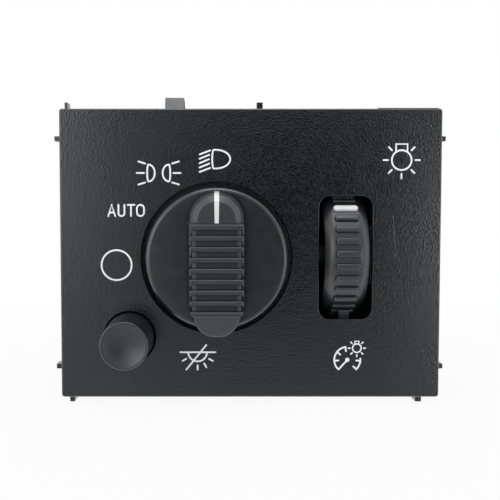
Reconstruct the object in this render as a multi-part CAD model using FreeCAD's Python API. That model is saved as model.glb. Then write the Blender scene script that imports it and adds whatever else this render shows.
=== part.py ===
import FreeCAD, Part
import math
import os

# Dashboard headlight switch: a front plate with a rotary light knob, a push button and an
# edge-on dimmer thumbwheel, on a closed rear case with its connector socket.
# Millimetres. +X points to the driver's right, +Y into the dashboard, +Z up.
# The origin is the centre of the plate's rear rim, the face that meets the dashboard.

# Clearances
seat_gap = 0.3
rim_gap = 0.2
running_gap = 0.05
contact_gap = 0.1

# Front plate
plate_width = 102.0
plate_height = 77.5
plate_thickness = 2.5
plate_depth = 14.0
plate_edge_radius = 0.5
plate_corner_radius = 0.8
skirt_wall = 2.0
skirt_inset = 0.4

# Nibs and land that locate the plate in the dashboard
nib_setback = 4.0
nib_depth = 4.0
side_nib_width = 1.6
side_nib_reach = 2.05
side_nib_inset = 7.65
top_nib_reach = 2.1
top_nib_width = 1.6
top_nib_x = 2.6
corner_nib_inset = 1.2
corner_nib_gusset = 3.0
foot_nib_reach = 2.2
foot_nib_width = 2.0
foot_nib_left_inset = 2.2
foot_nib_right_inset = 4.7
land_reach = 0.45
land_length = 16.3
land_depth = 6.0

# Snap windows in the skirt and the teeth of the case that sit in them
snap_width = 8.0
snap_height = 2.6
snap_reach = 1.2
snap_setback = 1.0
snap_side_inset = 22.75
snap_top_inset = 27.0

# Rotary knob
knob_x = -9.05
knob_z = -1.0
knob_radius = 18.8
knob_gap = 1.55
knob_proud = 4.5
knob_wall = 2.0
knob_edge_radius = 1.2
knob_dish = 0.3
knob_skirt_clearance = 1.5
well_depth = 7.0
well_floor = 1.5
well_wall = 1.5

# Ribbed grip across the knob
grip_height = 11.9
grip_top_width = 13.6
grip_base_width = 14.5
grip_foot_radius = 1.6
ridge_count = 9
ridge_width = 1.25
end_ridge_width = 1.4
groove_width = 1.45
groove_depth = 1.1
groove_side_depth = 0.6
groove_edge_radius = 1.2
groove_rise = 1.5
ridges_top = 9.35
grip_recess = 0.6
head_centre = 1.1
head_shoulder_radius = 6.75
head_rim_radius = 5.9
head_top_radius = 4.75
head_shoulder_height = 1.3
head_slope_height = 1.0
head_rim_shift = 0.2
head_top_shift = -0.23
nose_base_radius = 6.9
nose_top_radius = 5.8
nose_reach = 0.2
nose_slope = 1.9
pointer_outer_width = 1.3
pointer_inner_width = 1.0
pointer_thickness = 0.7
pointer_proud = 0.04
pointer_end_gap = 0.25

# Rotor behind the knob
rotor_key_radius = 3.5
rotor_key_flat = 2.6
rotor_journal_radius = 4.5
rotor_bearing_wall = 1.8
rotor_bearing_end = 2.0
rotor_key_reach = 8.0
hub_wall = 1.9
star_radius = 10.0
star_thickness = 3.0
star_notches = 12
star_notch_radius = 2.0
star_notch_depth = 0.8
carrier_radius = 8.0
carrier_length = 7.6
wiper_height = 4.0
ring_width = 1.6
ring_thickness = 0.6
ring_slot = 2.4

# Detent ball and spring under the rotor
ball_radius = 1.75
ball_spring_length = 6.0
ball_spring_wire = 0.35
ball_spring_turns = 5
spring_wire_sides = 6
ball_pocket_wall = 1.5

# Push button
button_side_inset = 18.5
button_foot_inset = 16.35
button_gap = 0.35
button_front_radius = 6.2
button_base_radius = 6.65
button_proud = 13.5
button_travel = 3.0
button_dish = 0.9
button_rim = 0.5
button_edge_radius = 0.35
button_wall = 1.5
button_flange_overlap = 1.2
button_flange_thickness = 1.5
button_guide_wall = 1.4
button_guide_length = 7.3
button_rib = 1.0
button_rib_end = 2.3
plunger_radius = 2.0
plunger_sleeve_wall = 1.2
switch_body_width = 13.0
switch_body_length = 12.4
plunger_engagement = 3.0
button_spring_wire = 0.5
button_spring_turns = 5

# Dimmer thumbwheel
wheel_z = -0.28
wheel_rise = 0.73
wheel_well_gap = 1.625
wheel_side_gap = 1.375
wheel_end_gap = 0.24
wheel_proud = 5.5
wheel_tread_radius = 16.9
wheel_width = 11.55
wheel_crown_width = 8.0
wheel_shoulder_drop = 1.9
wheel_shoulder_bend = 0.55
wheel_shoulder_fall = 0.44
wheel_rim = 3.0
wheel_web = 2.4
wheel_hub_radius = 3.6
rib_count = 32
rib_phase = 0.82
rib_length = 6.65
rib_width = 1.85
rib_height = 0.85
marker_ribs_up = 4
opening_corner_radius = 3.0
ledge_width = 6.1
ledge_shift = -0.45
ledge_drop = 0.7
ledge_depth = 0.15
axle_radius = 1.5
ear_thickness = 2.0
ear_radius = 4.5
ear_base = 8.0
right_ear_gap = 1.2
left_ear_gap = 3.3
card_thickness = 1.0
card_size = 16.0
card_hole_clearance = 0.7
wiper_thickness = 0.3
wiper_radius = 6.0
wiper_finger_width = 1.6
wiper_finger_length = 5.0
leaf_width = 2.8
leaf_thickness = 0.5
leaf_angle = 56.0
leaf_foot = 6.0

# Circuit board and what stands on it
board_thickness = 1.6
board_clearance = 0.9
screw_inset = 3.55
screw_shank_radius = 1.4
screw_head_radius = 2.8
screw_head_height = 1.6
screw_length = 7.0
boss_radius = 3.2
lamp_left_inset = 15.0
lamp_right_inset = 11.5
lamp_top_inset = 17.25
lamp_socket_radius = 4.5
lamp_socket_height = 4.5
bulb_radius = 2.4
bulb_length = 8.5
light_guide_thickness = 2.0
light_guide_gap = 0.5
light_pipe_radius = 3.4
light_pipe_length = 10.4

# Rear case and its connector
case_wall = 2.0
case_rear_wall = 2.5
case_lap = 4.0
case_space = 5.5
case_corner_radius = 2.0
case_edge_radius = 1.5
vent_count = 7
vent_width = 2.2
vent_height = 15.0
vent_pitch = 6.0
vent_top_inset = 21.15
vent_x = 8.0
rib_rear_height = 1.0
rib_rear_width = 1.5
socket_x = 18.0
socket_side_margin = 3.6
socket_top_margin = 3.4
socket_length = 13.5
socket_wall = 2.0
latch_width = 6.0
latch_height = 1.6
latch_length = 4.0
key_width = 1.4
key_height = 1.0
header_step = 1.5
terminal_columns = 6
terminal_rows = 2
terminal_pitch = 3.8
terminal_row_pitch = 4.6
terminal_width = 1.2
terminal_thickness = 0.64
terminal_recess = 5.5

# Spring steel clip on the top edge
clip_x = -20.75
clip_width = 5.2
clip_thickness = 0.7
clip_rise = 4.2
clip_slot_setback = 3.6
clip_slot_clearance = 0.1
clip_hook = 2.8

# Derived places
front_y = -plate_depth
slab_rear = front_y + plate_thickness
skirt_half_width = plate_width / 2 - skirt_inset
skirt_half_height = plate_height / 2 - skirt_inset
inside_half_width = skirt_half_width - skirt_wall
inside_half_height = skirt_half_height - skirt_wall
case_half_width = inside_half_width - rim_gap
case_half_height = inside_half_height - rim_gap
side_nib_z = plate_height / 2 - side_nib_inset
corner_nib_x = corner_nib_inset - plate_width / 2
foot_nib_left_x = foot_nib_left_inset - plate_width / 2
foot_nib_right_x = plate_width / 2 - foot_nib_right_inset
snap_side_z = plate_height / 2 - snap_side_inset
snap_top_x = plate_width / 2 - snap_top_inset
snap_rear = -snap_setback
snap_front = snap_rear - snap_height
knob_front = front_y - knob_proud
well_front = front_y + well_depth
well_rear = well_front + well_floor
well_radius = knob_radius + knob_gap
knob_skirt_rear = well_front - knob_skirt_clearance
bearing_radius = rotor_journal_radius + running_gap * 2
bearing_outer = bearing_radius + rotor_bearing_wall
journal_front = well_front - contact_gap
ring_front = journal_front - ring_thickness
hub_rear = ring_front - seat_gap
star_front = rotor_bearing_end + seat_gap
star_rear = star_front + star_thickness
star_middle = (star_front + star_rear) / 2
carrier_rear = star_rear + carrier_length
ball_distance = star_radius + ball_radius + contact_gap
head_base_radius = grip_base_width / 2
ridge_pitch = ridge_width + groove_width
ridges_bottom = ridges_top - 2 * (end_ridge_width - ridge_width) - ridge_count * ridge_pitch + groove_width
button_x = button_side_inset - plate_width / 2
button_z = button_foot_inset - plate_height / 2
button_hole_radius = button_base_radius + button_gap
button_flange_radius = button_hole_radius + button_flange_overlap
button_front = front_y - button_proud
guide_rear = slab_rear + button_guide_length
flange_front = guide_rear + seat_gap
flange_rear = flange_front + button_flange_thickness
rib_rear = guide_rear - button_rib_end
sleeve_radius = plunger_radius + plunger_sleeve_wall
button_spring_radius = sleeve_radius + button_spring_wire / 2 + contact_gap * 1.5
rib_tip_radius = wheel_tread_radius + rib_height
wheel_y = front_y - wheel_proud + rib_tip_radius
wheel_left = -wheel_width / 2
wheel_right = wheel_width / 2
right_ear_inner = wheel_right + right_ear_gap
left_ear_inner = wheel_left - left_ear_gap
card_face = left_ear_inner + card_thickness
wheel_x = knob_x + well_radius + well_wall + wheel_well_gap + ear_thickness - left_ear_inner
opening_width = wheel_width + 2 * wheel_side_gap
ledge_rear = slab_rear + ledge_depth
wheel_reach_at_ledge = math.sqrt(rib_tip_radius ** 2 - (wheel_y - ledge_rear) ** 2)
opening_z = wheel_z - wheel_rise
opening_height = 2 * (wheel_reach_at_ledge + wheel_rise + wheel_end_gap + ledge_drop)
leaf_reach = rib_tip_radius + contact_gap + leaf_thickness / 2
leaf_nose_y = wheel_y - leaf_reach * math.cos(math.radians(leaf_angle))
leaf_nose_z = wheel_z - leaf_reach * math.sin(math.radians(leaf_angle))
leaf_bend_z = opening_z - opening_height / 2 + contact_gap
board_front = max(carrier_rear + wiper_height, wheel_y + rib_tip_radius + board_clearance)
board_rear = board_front + board_thickness
switch_front = board_front - switch_body_length
case_rear = board_rear + case_space + case_rear_wall
case_inner_rear = case_rear - case_rear_wall
screw_x = case_half_width - case_wall - screw_inset
screw_z = case_half_height - case_wall - screw_inset
lamp_left_x = lamp_left_inset - plate_width / 2
lamp_right_x = plate_width / 2 - lamp_right_inset
lamp_z = plate_height / 2 - lamp_top_inset
vent_z = case_half_height - vent_top_inset
socket_width = terminal_columns * terminal_pitch + 2 * socket_side_margin
socket_height = terminal_rows * terminal_row_pitch + 2 * socket_top_margin
socket_z = -case_half_height + socket_height / 2
socket_rear = case_rear + socket_length


def vec(x, y, z):
    return FreeCAD.Vector(x, y, z)


def block(x, y, z):
    """Box between two values on each axis, each given as a pair."""
    corner = vec(min(x), min(y), min(z))
    return Part.makeBox(max(x) - min(x), max(y) - min(y), max(z) - min(z), corner)


def rod(radius, x, z, y0, y1):
    """Round bar along Y."""
    return Part.makeCylinder(radius, y1 - y0, vec(x, y0, z), vec(0, 1, 0))


def cross_rod(radius, x0, x1, y, z):
    """Round bar along X."""
    return Part.makeCylinder(radius, x1 - x0, vec(x0, y, z), vec(1, 0, 0))


def runs_along(edge, axis):
    """True for a straight edge parallel to the axis."""
    if not isinstance(edge.Curve, (Part.Line, Part.LineSegment)):
        return False
    start, end = edge.Vertexes[0].Point, edge.Vertexes[-1].Point
    return (end - start).cross(axis).Length < 1e-6


def soft_block(x, y, z, radius):
    """Box whose four edges along Y are rounded."""
    body = block(x, y, z)
    return body.makeFillet(radius, [edge for edge in body.Edges if runs_along(edge, vec(0, 1, 0))])


def edges_at(body, y):
    """The edges of a body that lie wholly in one plane across Y."""
    return [edge for edge in body.Edges
            if edge.BoundBox.YLength < 1e-6 and abs(edge.BoundBox.YMin - y) < 1e-6]


def prism(points, direction):
    """Flat outline through the points, drawn out along a vector."""
    return Part.Face(Part.makePolygon(points + [points[0]])).extrude(direction)


def turned(edges, centre, axis):
    """Solid swept by a closed outline turned about an axis."""
    return Part.Face(Part.Wire(edges)).revolve(centre, axis, 360)


def lines(points):
    """Straight edges through the points, in order."""
    return [Part.makeLine(start, end) for start, end in zip(points, points[1:])]


def arc(start, middle, end):
    return Part.Arc(start, middle, end).toShape()


def joined(bodies):
    """One solid from several that touch or overlap."""
    return bodies[0].multiFuse(bodies[1:]).removeSplitter()


def strip(path, thickness, place, width):
    """Bent strip of sheet: path is its centre line in pairs, place puts a pair in space."""
    points = [vec(a, b, 0) for a, b in path]
    last = len(points) - 1
    sides = ([], [])
    for i, point in enumerate(points):
        before = (points[max(i, 1)] - points[max(i, 1) - 1]).normalize()
        after = (points[min(i, last - 1) + 1] - points[min(i, last - 1)]).normalize()
        offset = vec(-before.y - after.y, before.x + after.x, 0)
        offset = offset * (thickness / (1 + before.dot(after)) / 2)
        sides[0].append(point + offset)
        sides[1].append(point - offset)
    outline = sides[0] + sides[1][::-1]
    return prism([place(point.x, point.y) for point in outline], width)


def pill(half_length, radius, place):
    """Closed wire of a slot with round ends, its length on the first coordinate."""
    reach = half_length - radius
    return Part.Wire([
        Part.makeLine(place(-reach, -radius), place(reach, -radius)),
        arc(place(reach, -radius), place(half_length, 0), place(reach, radius)),
        Part.makeLine(place(reach, radius), place(-reach, radius)),
        arc(place(-reach, radius), place(-half_length, 0), place(-reach, -radius)),
    ])


def coil(radius, wire, turns, base, axis, length):
    """Compression spring between two planes square to its axis, its round wire drawn many-sided."""
    rise = length - wire
    helix = Part.makeHelix(rise / turns, rise, radius)
    corners = []
    for i in range(spring_wire_sides):
        angle = math.radians((i + 0.5) * 360 / spring_wire_sides)
        corners.append(vec(radius + wire / 2 * math.cos(angle), 0, wire / 2 * math.sin(angle)))
    section = Part.makePolygon(corners + [corners[0]])
    body = Part.Wire(helix).makePipeShell([section], True, True)
    body.Placement = FreeCAD.Placement(base + axis * (wire / 2), FreeCAD.Rotation(vec(0, 0, 1), axis))
    return body


def nib(points, setback, depth):
    """Locating nib on the skirt: its outline across the plate, in x and z pairs."""
    return prism([vec(x, front_y + setback, z) for x, z in points], vec(0, depth, 0))


def plate_nibs():
    """The nibs round the skirt and the long land at its top right corner."""
    nibs = []
    for side in (-1, 1):
        for z in (-side_nib_z, side_nib_z):
            reach = plate_width / 2 + side_nib_reach
            ends = (side * (skirt_half_width - skirt_wall / 2), side * reach)
            half = side_nib_width / 2
            nibs.append(nib([(ends[0], z - half), (ends[1], z - half * 0.8),
                             (ends[1], z + half * 0.8), (ends[0], z + half)], nib_setback, nib_depth))
    root = skirt_half_height - skirt_wall / 2
    top = plate_height / 2 + top_nib_reach
    half = top_nib_width / 2
    nibs.append(nib([(top_nib_x - half, root), (top_nib_x - half, top),
                     (top_nib_x + half, top), (top_nib_x + half, root)], nib_setback, nib_depth))
    left = corner_nib_x - half / 2
    right = corner_nib_x + half / 2
    shelf = plate_height / 2 + top_nib_reach / 3
    nibs.append(nib([(left, root), (left, top), (right, top), (right, shelf),
                     (right + corner_nib_gusset, root)], nib_setback, nib_depth))
    foot = -plate_height / 2 - foot_nib_reach
    half = foot_nib_width / 2
    for x, outer in ((foot_nib_left_x, half * 0.6), (foot_nib_right_x, half)):
        nibs.append(nib([(x - half, -root), (x - half * 0.6, foot),
                         (x + outer, foot), (x + half, -root)], nib_setback, nib_depth))
    land = block((skirt_half_width - land_length, skirt_half_width), (slab_rear, slab_rear + land_depth),
                 (root, plate_height / 2 + land_reach))
    return nibs + [land]


def wheel_ear(inner, outer):
    """Bearing ear of the thumbwheel behind the plate, between two offsets from the wheel's middle."""
    x = (wheel_x + inner, wheel_x + outer)
    base = prism([vec(min(x), slab_rear, wheel_z - ear_base), vec(min(x), slab_rear, wheel_z + ear_base),
                  vec(min(x), wheel_y, wheel_z + ear_radius), vec(min(x), wheel_y, wheel_z - ear_radius)],
                 vec(ear_thickness, 0, 0))
    return base.fuse(cross_rod(ear_radius, min(x), max(x), wheel_y, wheel_z))


def ball_pocket():
    """Housing of the detent ball and its spring, behind the floor of the knob's well."""
    bore = ball_radius + running_gap
    half = bore + ball_pocket_wall
    mouth = knob_z - star_radius - contact_gap * 8
    end = knob_z - ball_distance - ball_radius - ball_spring_length
    return (block((knob_x - half, knob_x + half), (well_rear - well_floor / 2, star_middle + half),
                  (mouth, end - ball_pocket_wall)),
            Part.makeCylinder(bore, mouth - end + 1, vec(knob_x, star_middle, end)))


def clip_slot():
    """Slot through the top of the skirt for the spring clip."""
    half = clip_width / 2 + clip_slot_clearance
    middle = slab_rear + clip_slot_setback
    gap = clip_thickness / 2 + clip_slot_clearance
    return block((clip_x - half, clip_x + half), (middle - gap, middle + gap),
                 (inside_half_height - 1, plate_height / 2 + 1))


def snap_places():
    """Middle of each snap tooth and the way it points out of the case."""
    places = [(side * case_half_width, z, side, 0) for side in (-1, 1) for z in (-snap_side_z, snap_side_z)]
    return places + [(snap_top_x, side * case_half_height, 0, side) for side in (-1, 1)]


def snap_block(x, z, out_x, out_z, root, reach, half, y):
    """Block at a snap place: root and reach are measured from the face of the case."""
    span = (-root, reach)
    if out_x:
        return block([x + out_x * s for s in span], y, (z - half, z + half))
    return block((x - half, x + half), y, [z + out_z * s for s in span])


def faceplate():
    half_width, half_height = plate_width / 2, plate_height / 2
    slab = soft_block((-half_width, half_width), (front_y, slab_rear), (-half_height, half_height),
                      plate_corner_radius)
    slab = slab.makeFillet(plate_edge_radius, edges_at(slab, front_y))
    skirt = soft_block((-skirt_half_width, skirt_half_width), (slab_rear, 0),
                       (-skirt_half_height, skirt_half_height), plate_corner_radius)
    skirt = skirt.cut(block((-inside_half_width, inside_half_width), (slab_rear, 1),
                            (-inside_half_height, inside_half_height)))
    well = rod(well_radius + well_wall, knob_x, knob_z, slab_rear - plate_thickness / 2, well_rear)
    bearing = rod(bearing_outer, knob_x, knob_z, well_front, rotor_bearing_end)
    guide = rod(button_hole_radius + button_guide_wall, button_x, button_z,
                slab_rear - plate_thickness / 2, guide_rear)
    ledge_top = opening_z + opening_height / 2
    ledge = block((wheel_x + ledge_shift - ledge_width / 2, wheel_x + ledge_shift + ledge_width / 2),
                  (slab_rear - plate_thickness / 4, ledge_rear),
                  (ledge_top - ledge_drop, ledge_top + ledge_depth))
    pocket, pocket_bore = ball_pocket()
    body = joined([slab, skirt, well, bearing, guide, pocket,
                   wheel_ear(right_ear_inner, right_ear_inner + ear_thickness),
                   wheel_ear(left_ear_inner - ear_thickness, left_ear_inner)] + plate_nibs())
    opening = soft_block((wheel_x - opening_width / 2, wheel_x + opening_width / 2),
                         (front_y - 1, slab_rear + 0.01),
                         (opening_z - opening_height / 2, opening_z + opening_height / 2),
                         opening_corner_radius)
    cuts = [opening, pocket_bore, clip_slot(),
            rod(well_radius, knob_x, knob_z, front_y - 1, well_front),
            rod(bearing_radius, knob_x, knob_z, well_front - 1, rotor_bearing_end + 1),
            rod(button_hole_radius, button_x, button_z, front_y - 1, guide_rear + 1),
            cross_rod(axle_radius + running_gap, wheel_x + left_ear_inner - ear_thickness - 1,
                      wheel_x + right_ear_inner + ear_thickness + 1, wheel_y, wheel_z)]
    for x, z, out_x, out_z in snap_places():
        cuts.append(snap_block(x, z, out_x, out_z, 0, rim_gap + skirt_wall + 1,
                               snap_width / 2 + rim_gap, (snap_front - rim_gap, snap_rear + rim_gap)))
    return body.cut(Part.makeCompound(cuts)).fuse(ledge).removeSplitter()


def on_grip(across, up, height):
    """Point on the knob from its middle: across and up its front, and height above the disc."""
    return vec(knob_x + across, knob_front - height, knob_z + up)


def knob_disc():
    """Dished disc with a rounded edge, a skirt and the hub, hollow behind."""
    def at(radius, y):
        return vec(knob_x + radius, y, knob_z)

    skirt = knob_radius - knob_wall
    flat = knob_radius - knob_edge_radius
    roof = knob_front + knob_dish + knob_wall
    bend = knob_edge_radius * (1 - math.sqrt(0.5))
    hub = rotor_key_radius + hub_wall
    edges = [Part.makeLine(at(0, knob_front + knob_dish), at(flat - knob_edge_radius, knob_front)),
             Part.makeLine(at(flat - knob_edge_radius, knob_front), at(flat, knob_front)),
             arc(at(flat, knob_front), at(knob_radius - bend, knob_front + bend),
                 at(knob_radius, knob_front + knob_edge_radius))]
    edges += lines([at(knob_radius, knob_front + knob_edge_radius), at(knob_radius, knob_skirt_rear),
                    at(skirt, knob_skirt_rear), at(skirt, roof), at(hub, roof), at(hub, hub_rear),
                    at(0, hub_rear), at(0, knob_front + knob_dish)])
    return turned(edges, vec(knob_x, 0, knob_z), vec(0, 1, 0))


def grip_head(grow, deep):
    """Rounded end of the grip that carries the pointer, made larger by grow all over."""
    top = grip_height - grip_recess + grow
    rim = top - head_slope_height
    shoulder = rim - head_shoulder_height
    middle = ridges_top + head_centre

    def ring(radius, up, height):
        return Part.Wire(Part.makeCircle(radius + grow, on_grip(0, middle + up, height), vec(0, -1, 0)))

    rings = [ring(head_base_radius, 0, -deep), ring(head_shoulder_radius, 0, shoulder),
             ring(head_rim_radius, head_rim_shift, rim), ring(head_top_radius, head_top_shift, top)]
    return Part.makeLoft(rings, True, True)


def grip_nose():
    """Smooth sloping end of the grip opposite the pointer, flush with the edge of the disc."""
    height = grip_height - grip_recess
    reach = knob_radius + nose_reach
    cone = Part.makeCone(nose_base_radius, nose_top_radius, height + knob_wall,
                         on_grip(0, nose_top_radius - reach, -knob_wall), vec(0, -1, 0))
    cone = cone.common(rod(reach, knob_x, knob_z, knob_front - grip_height, knob_front + knob_wall))
    slope = prism([on_grip(-grip_base_width, ridges_bottom, height),
                   on_grip(-grip_base_width, ridges_bottom, height + knob_wall),
                   on_grip(-grip_base_width, -reach - 1, height + knob_wall),
                   on_grip(-grip_base_width, -reach - 1, height - nose_slope)],
                  vec(grip_base_width * 2, 0, 0))
    return cone.cut(slope)


def grip_outline(half_width, height):
    """Outline of the ridged bar at one height: square above, its foot rounded towards the nose."""
    def at(across, up):
        return on_grip(across, up, height)

    inner = half_width - grip_foot_radius
    low = ridges_bottom + grip_foot_radius
    bend = grip_foot_radius * math.sqrt(0.5)
    return Part.Wire(
        lines([at(-half_width, low), at(-half_width, ridges_top),
               at(half_width, ridges_top), at(half_width, low)])
        + [arc(at(half_width, low), at(inner + bend, low - bend), at(inner, ridges_bottom)),
           Part.makeLine(at(inner, ridges_bottom), at(-inner, ridges_bottom)),
           arc(at(-inner, ridges_bottom), at(-inner - bend, low - bend), at(-half_width, low))])


def drafted_bar(base_half, top_half, height):
    return Part.makeLoft([grip_outline(base_half, -knob_dish), grip_outline(top_half, height)], True, True)


def grip_core():
    """The bar below the ridges: lower and narrower, with rounded long edges."""
    height = grip_height - groove_depth
    core = drafted_bar(grip_base_width / 2 - groove_side_depth,
                       grip_top_width / 2 - groove_side_depth, height)
    long_edges = [edge for edge in edges_at(core, knob_front - height) if runs_along(edge, vec(0, 0, 1))]
    return core.makeFillet(groove_edge_radius, long_edges)


def grip_grooves():
    """Space between the ridges, which run over the bar and down its sides."""
    slots = []
    for i in range(ridge_count - 1):
        up = ridges_top - end_ridge_width - groove_width / 2 - i * ridge_pitch
        slots.append(block((knob_x - grip_base_width, knob_x + grip_base_width),
                           (knob_front - groove_rise, knob_front - grip_height - 1),
                           (knob_z + up - groove_width / 2, knob_z + up + groove_width / 2)))
    return Part.makeCompound(slots).cut(grip_core())


def pointer():
    """White insert that wraps over the end of the grip."""
    outer = grip_head(pointer_proud, 0)
    inner = grip_head(pointer_proud - pointer_thickness, knob_wall)
    end = ridges_top + pointer_end_gap
    reach = ridges_top + head_centre + head_base_radius + 1
    halves = (pointer_inner_width / 2, pointer_outer_width / 2)
    wedge = prism([on_grip(-halves[0], end, 0), on_grip(halves[0], end, 0),
                   on_grip(halves[1], reach, 0), on_grip(-halves[1], reach, 0)],
                  vec(0, -grip_height - 1, 0))
    return outer.cut(inner).common(wedge)


def key_shaft(grow, y0, y1):
    """Round shaft with one flat, larger by grow all round."""
    radius = rotor_key_radius + grow
    flat = block((knob_x - radius, knob_x + radius), (y0 - 1, y1 + 1),
                 (knob_z + rotor_key_flat + grow, knob_z + radius + 1))
    return rod(radius, knob_x, knob_z, y0, y1).cut(flat)


def knob():
    bar = drafted_bar(grip_base_width / 2, grip_top_width / 2, grip_height).cut(grip_grooves())
    ridges = block((knob_x - grip_base_width, knob_x + grip_base_width),
                   (knob_front - grip_height - 1, knob_front + knob_wall + 1),
                   (knob_z + ridges_bottom + ridge_width / 2, knob_z + ridges_top - ridge_width / 2))
    ends = grip_head(0, knob_wall).fuse(grip_nose()).cut(ridges)
    body = joined([knob_disc(), bar, ends])
    socket = key_shaft(running_gap, hub_rear - rotor_key_reach, hub_rear + 1)
    return body.cut(socket).cut(pointer())


def rotor():
    """Keyed shaft, journal, detent star and contact carrier in one moulding."""
    star = rod(star_radius, knob_x, knob_z, star_front, star_rear)
    distance = star_radius + star_notch_radius - star_notch_depth
    notches = []
    for i in range(star_notches):
        angle = math.radians(i * 360 / star_notches)
        notches.append(rod(star_notch_radius, knob_x + distance * math.cos(angle),
                           knob_z + distance * math.sin(angle), star_front - 1, star_rear + 1))
    star = star.cut(Part.makeCompound(notches))
    key_end = hub_rear - rotor_key_reach + seat_gap
    return joined([star, key_shaft(0, key_end, journal_front),
                   rod(rotor_journal_radius, knob_x, knob_z, journal_front, star_front),
                   rod(carrier_radius, knob_x, knob_z, star_rear, carrier_rear)])


def rotor_retaining_ring():
    """Open steel ring on the shaft that keeps the rotor in its bearing."""
    inner = rotor_key_radius + running_gap
    outer = inner + ring_width + running_gap * 12
    ring = rod(outer, knob_x, knob_z, ring_front, journal_front)
    slot = block((knob_x - ring_slot / 2, knob_x + ring_slot / 2), (ring_front - 1, journal_front + 1),
                 (knob_z - outer - 1, knob_z))
    return ring.cut(rod(inner, knob_x, knob_z, ring_front - 1, journal_front + 1)).cut(slot)


def contact_path(rise):
    """Centre line of a sprung contact finger that reaches a track at the given distance."""
    top = rise - wiper_thickness
    length = wiper_finger_length
    return [(-wiper_finger_width / 2, 0), (0, 0), (length * 0.7, top), (length, top)]


def rotor_wiper():
    """Bronze contact plate with three fingers that run on the board."""
    plate_rear = carrier_rear + wiper_thickness
    plate = rod(wiper_radius + wiper_finger_width / 2, knob_x, knob_z, carrier_rear, plate_rear)
    middle = carrier_rear + wiper_thickness / 2
    bodies = [plate.cut(rod(rotor_key_radius, knob_x, knob_z, carrier_rear - 1, plate_rear + 1))]
    path = contact_path(board_front - contact_gap - carrier_rear)
    finger_z = knob_z + wiper_radius - wiper_finger_width / 2
    for i in range(3):
        finger = strip(path, wiper_thickness,
                       lambda a, b: vec(knob_x + a, middle + b, finger_z),
                       vec(0, 0, wiper_finger_width))
        finger.rotate(vec(knob_x, 0, knob_z), vec(0, 1, 0), i * 120)
        bodies.append(finger)
    return joined(bodies)


def detent_ball():
    return Part.makeSphere(ball_radius, vec(knob_x, star_middle, knob_z - ball_distance))


def detent_spring():
    length = ball_spring_length - contact_gap * 2
    end = knob_z - ball_distance - ball_radius - ball_spring_length
    return coil(ball_radius - ball_spring_wire, ball_spring_wire, ball_spring_turns,
                vec(knob_x, star_middle, end + contact_gap), vec(0, 0, 1), length)


def button_cap():
    """Push button with a dished front, hollow behind, with a cross of ribs round its sleeve."""
    def at(radius, y):
        return vec(button_x + radius, y, button_z)

    dish = button_front_radius - button_rim
    edge = button_front_radius - button_edge_radius
    bend = button_edge_radius * (1 - math.sqrt(0.5))
    hollow = button_base_radius - button_wall
    roof = button_front + button_dish + button_wall
    middle = at(dish / 2, button_front + button_dish * 0.75)
    edges = [arc(at(0, button_front + button_dish), middle, at(dish, button_front)),
             Part.makeLine(at(dish, button_front), at(edge, button_front)),
             arc(at(edge, button_front), at(button_front_radius - bend, button_front + bend),
                 at(button_front_radius, button_front + button_edge_radius))]
    edges += lines([at(button_front_radius, button_front + button_edge_radius),
                    at(button_base_radius, front_y), at(button_base_radius, flange_front),
                    at(button_flange_radius, flange_front), at(button_flange_radius, flange_rear),
                    at(hollow, flange_rear), at(hollow, front_y),
                    at(button_front_radius - button_wall, roof), at(0, roof),
                    at(0, button_front + button_dish)])
    body = turned(edges, vec(button_x, 0, button_z), vec(0, 1, 0))
    half, reach = button_rib / 2, button_front_radius - button_wall / 2
    ribs = [rod(sleeve_radius, button_x, button_z, roof - button_wall / 2, rib_rear),
            block((button_x - half, button_x + half), (roof - button_wall / 2, rib_rear),
                  (button_z - reach, button_z + reach)),
            block((button_x - reach, button_x + reach), (roof - button_wall / 2, rib_rear),
                  (button_z - half, button_z + half))]
    bore = rod(plunger_radius, button_x, button_z, roof + button_wall, rib_rear + 1)
    return joined([body] + ribs).cut(bore)


def switch_plunger():
    start = button_front + button_dish + button_wall * 2
    return rod(plunger_radius, button_x, button_z, start, switch_front + plunger_engagement)


def push_switch_body():
    half = switch_body_width / 2
    body = soft_block((button_x - half, button_x + half), (switch_front, board_front),
                      (button_z - half, button_z + half), 1.0)
    bore = rod(plunger_radius + running_gap * 2, button_x, button_z, switch_front - 1,
               switch_front + plunger_engagement + button_travel + seat_gap)
    return body.cut(bore)


def button_spring():
    length = switch_front - rib_rear - contact_gap * 2
    return coil(button_spring_radius, button_spring_wire, button_spring_turns,
                vec(button_x, rib_rear + contact_gap, button_z), vec(0, 1, 0), length)


def wheel_ring(points_to_edges):
    """Solid turned about the wheel's axle from edges given in offset and radius."""
    def at(offset, radius):
        return vec(wheel_x + offset, wheel_y - radius, wheel_z)

    return turned(points_to_edges(at), vec(wheel_x, wheel_y, wheel_z), vec(1, 0, 0))


def wheel_rib(index, grow):
    """Round-ended rib on the tread, counted upwards from the one just below the wheel's front."""
    angle = (index - rib_phase) * 360 / rib_count
    half, radius = rib_length / 2, rib_width / 2
    wire = pill(half, radius, lambda a, b: vec(wheel_x + a, wheel_y - wheel_tread_radius + 1, wheel_z + b))
    body = Part.Face(wire).extrude(vec(0, -1 - rib_height - grow, 0))
    top = cross_rod(rib_tip_radius + grow, wheel_x - half - 1, wheel_x + half + 1, wheel_y, wheel_z)
    body = body.common(top)
    body.rotate(vec(wheel_x, wheel_y, wheel_z), vec(1, 0, 0), -angle)
    return body


def dimmer_marker():
    """White insert in place of one rib."""
    tread = cross_rod(wheel_tread_radius - rib_height, wheel_x - rib_length, wheel_x + rib_length,
                      wheel_y, wheel_z)
    return wheel_rib(marker_ribs_up + 1, 0).cut(tread)


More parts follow.
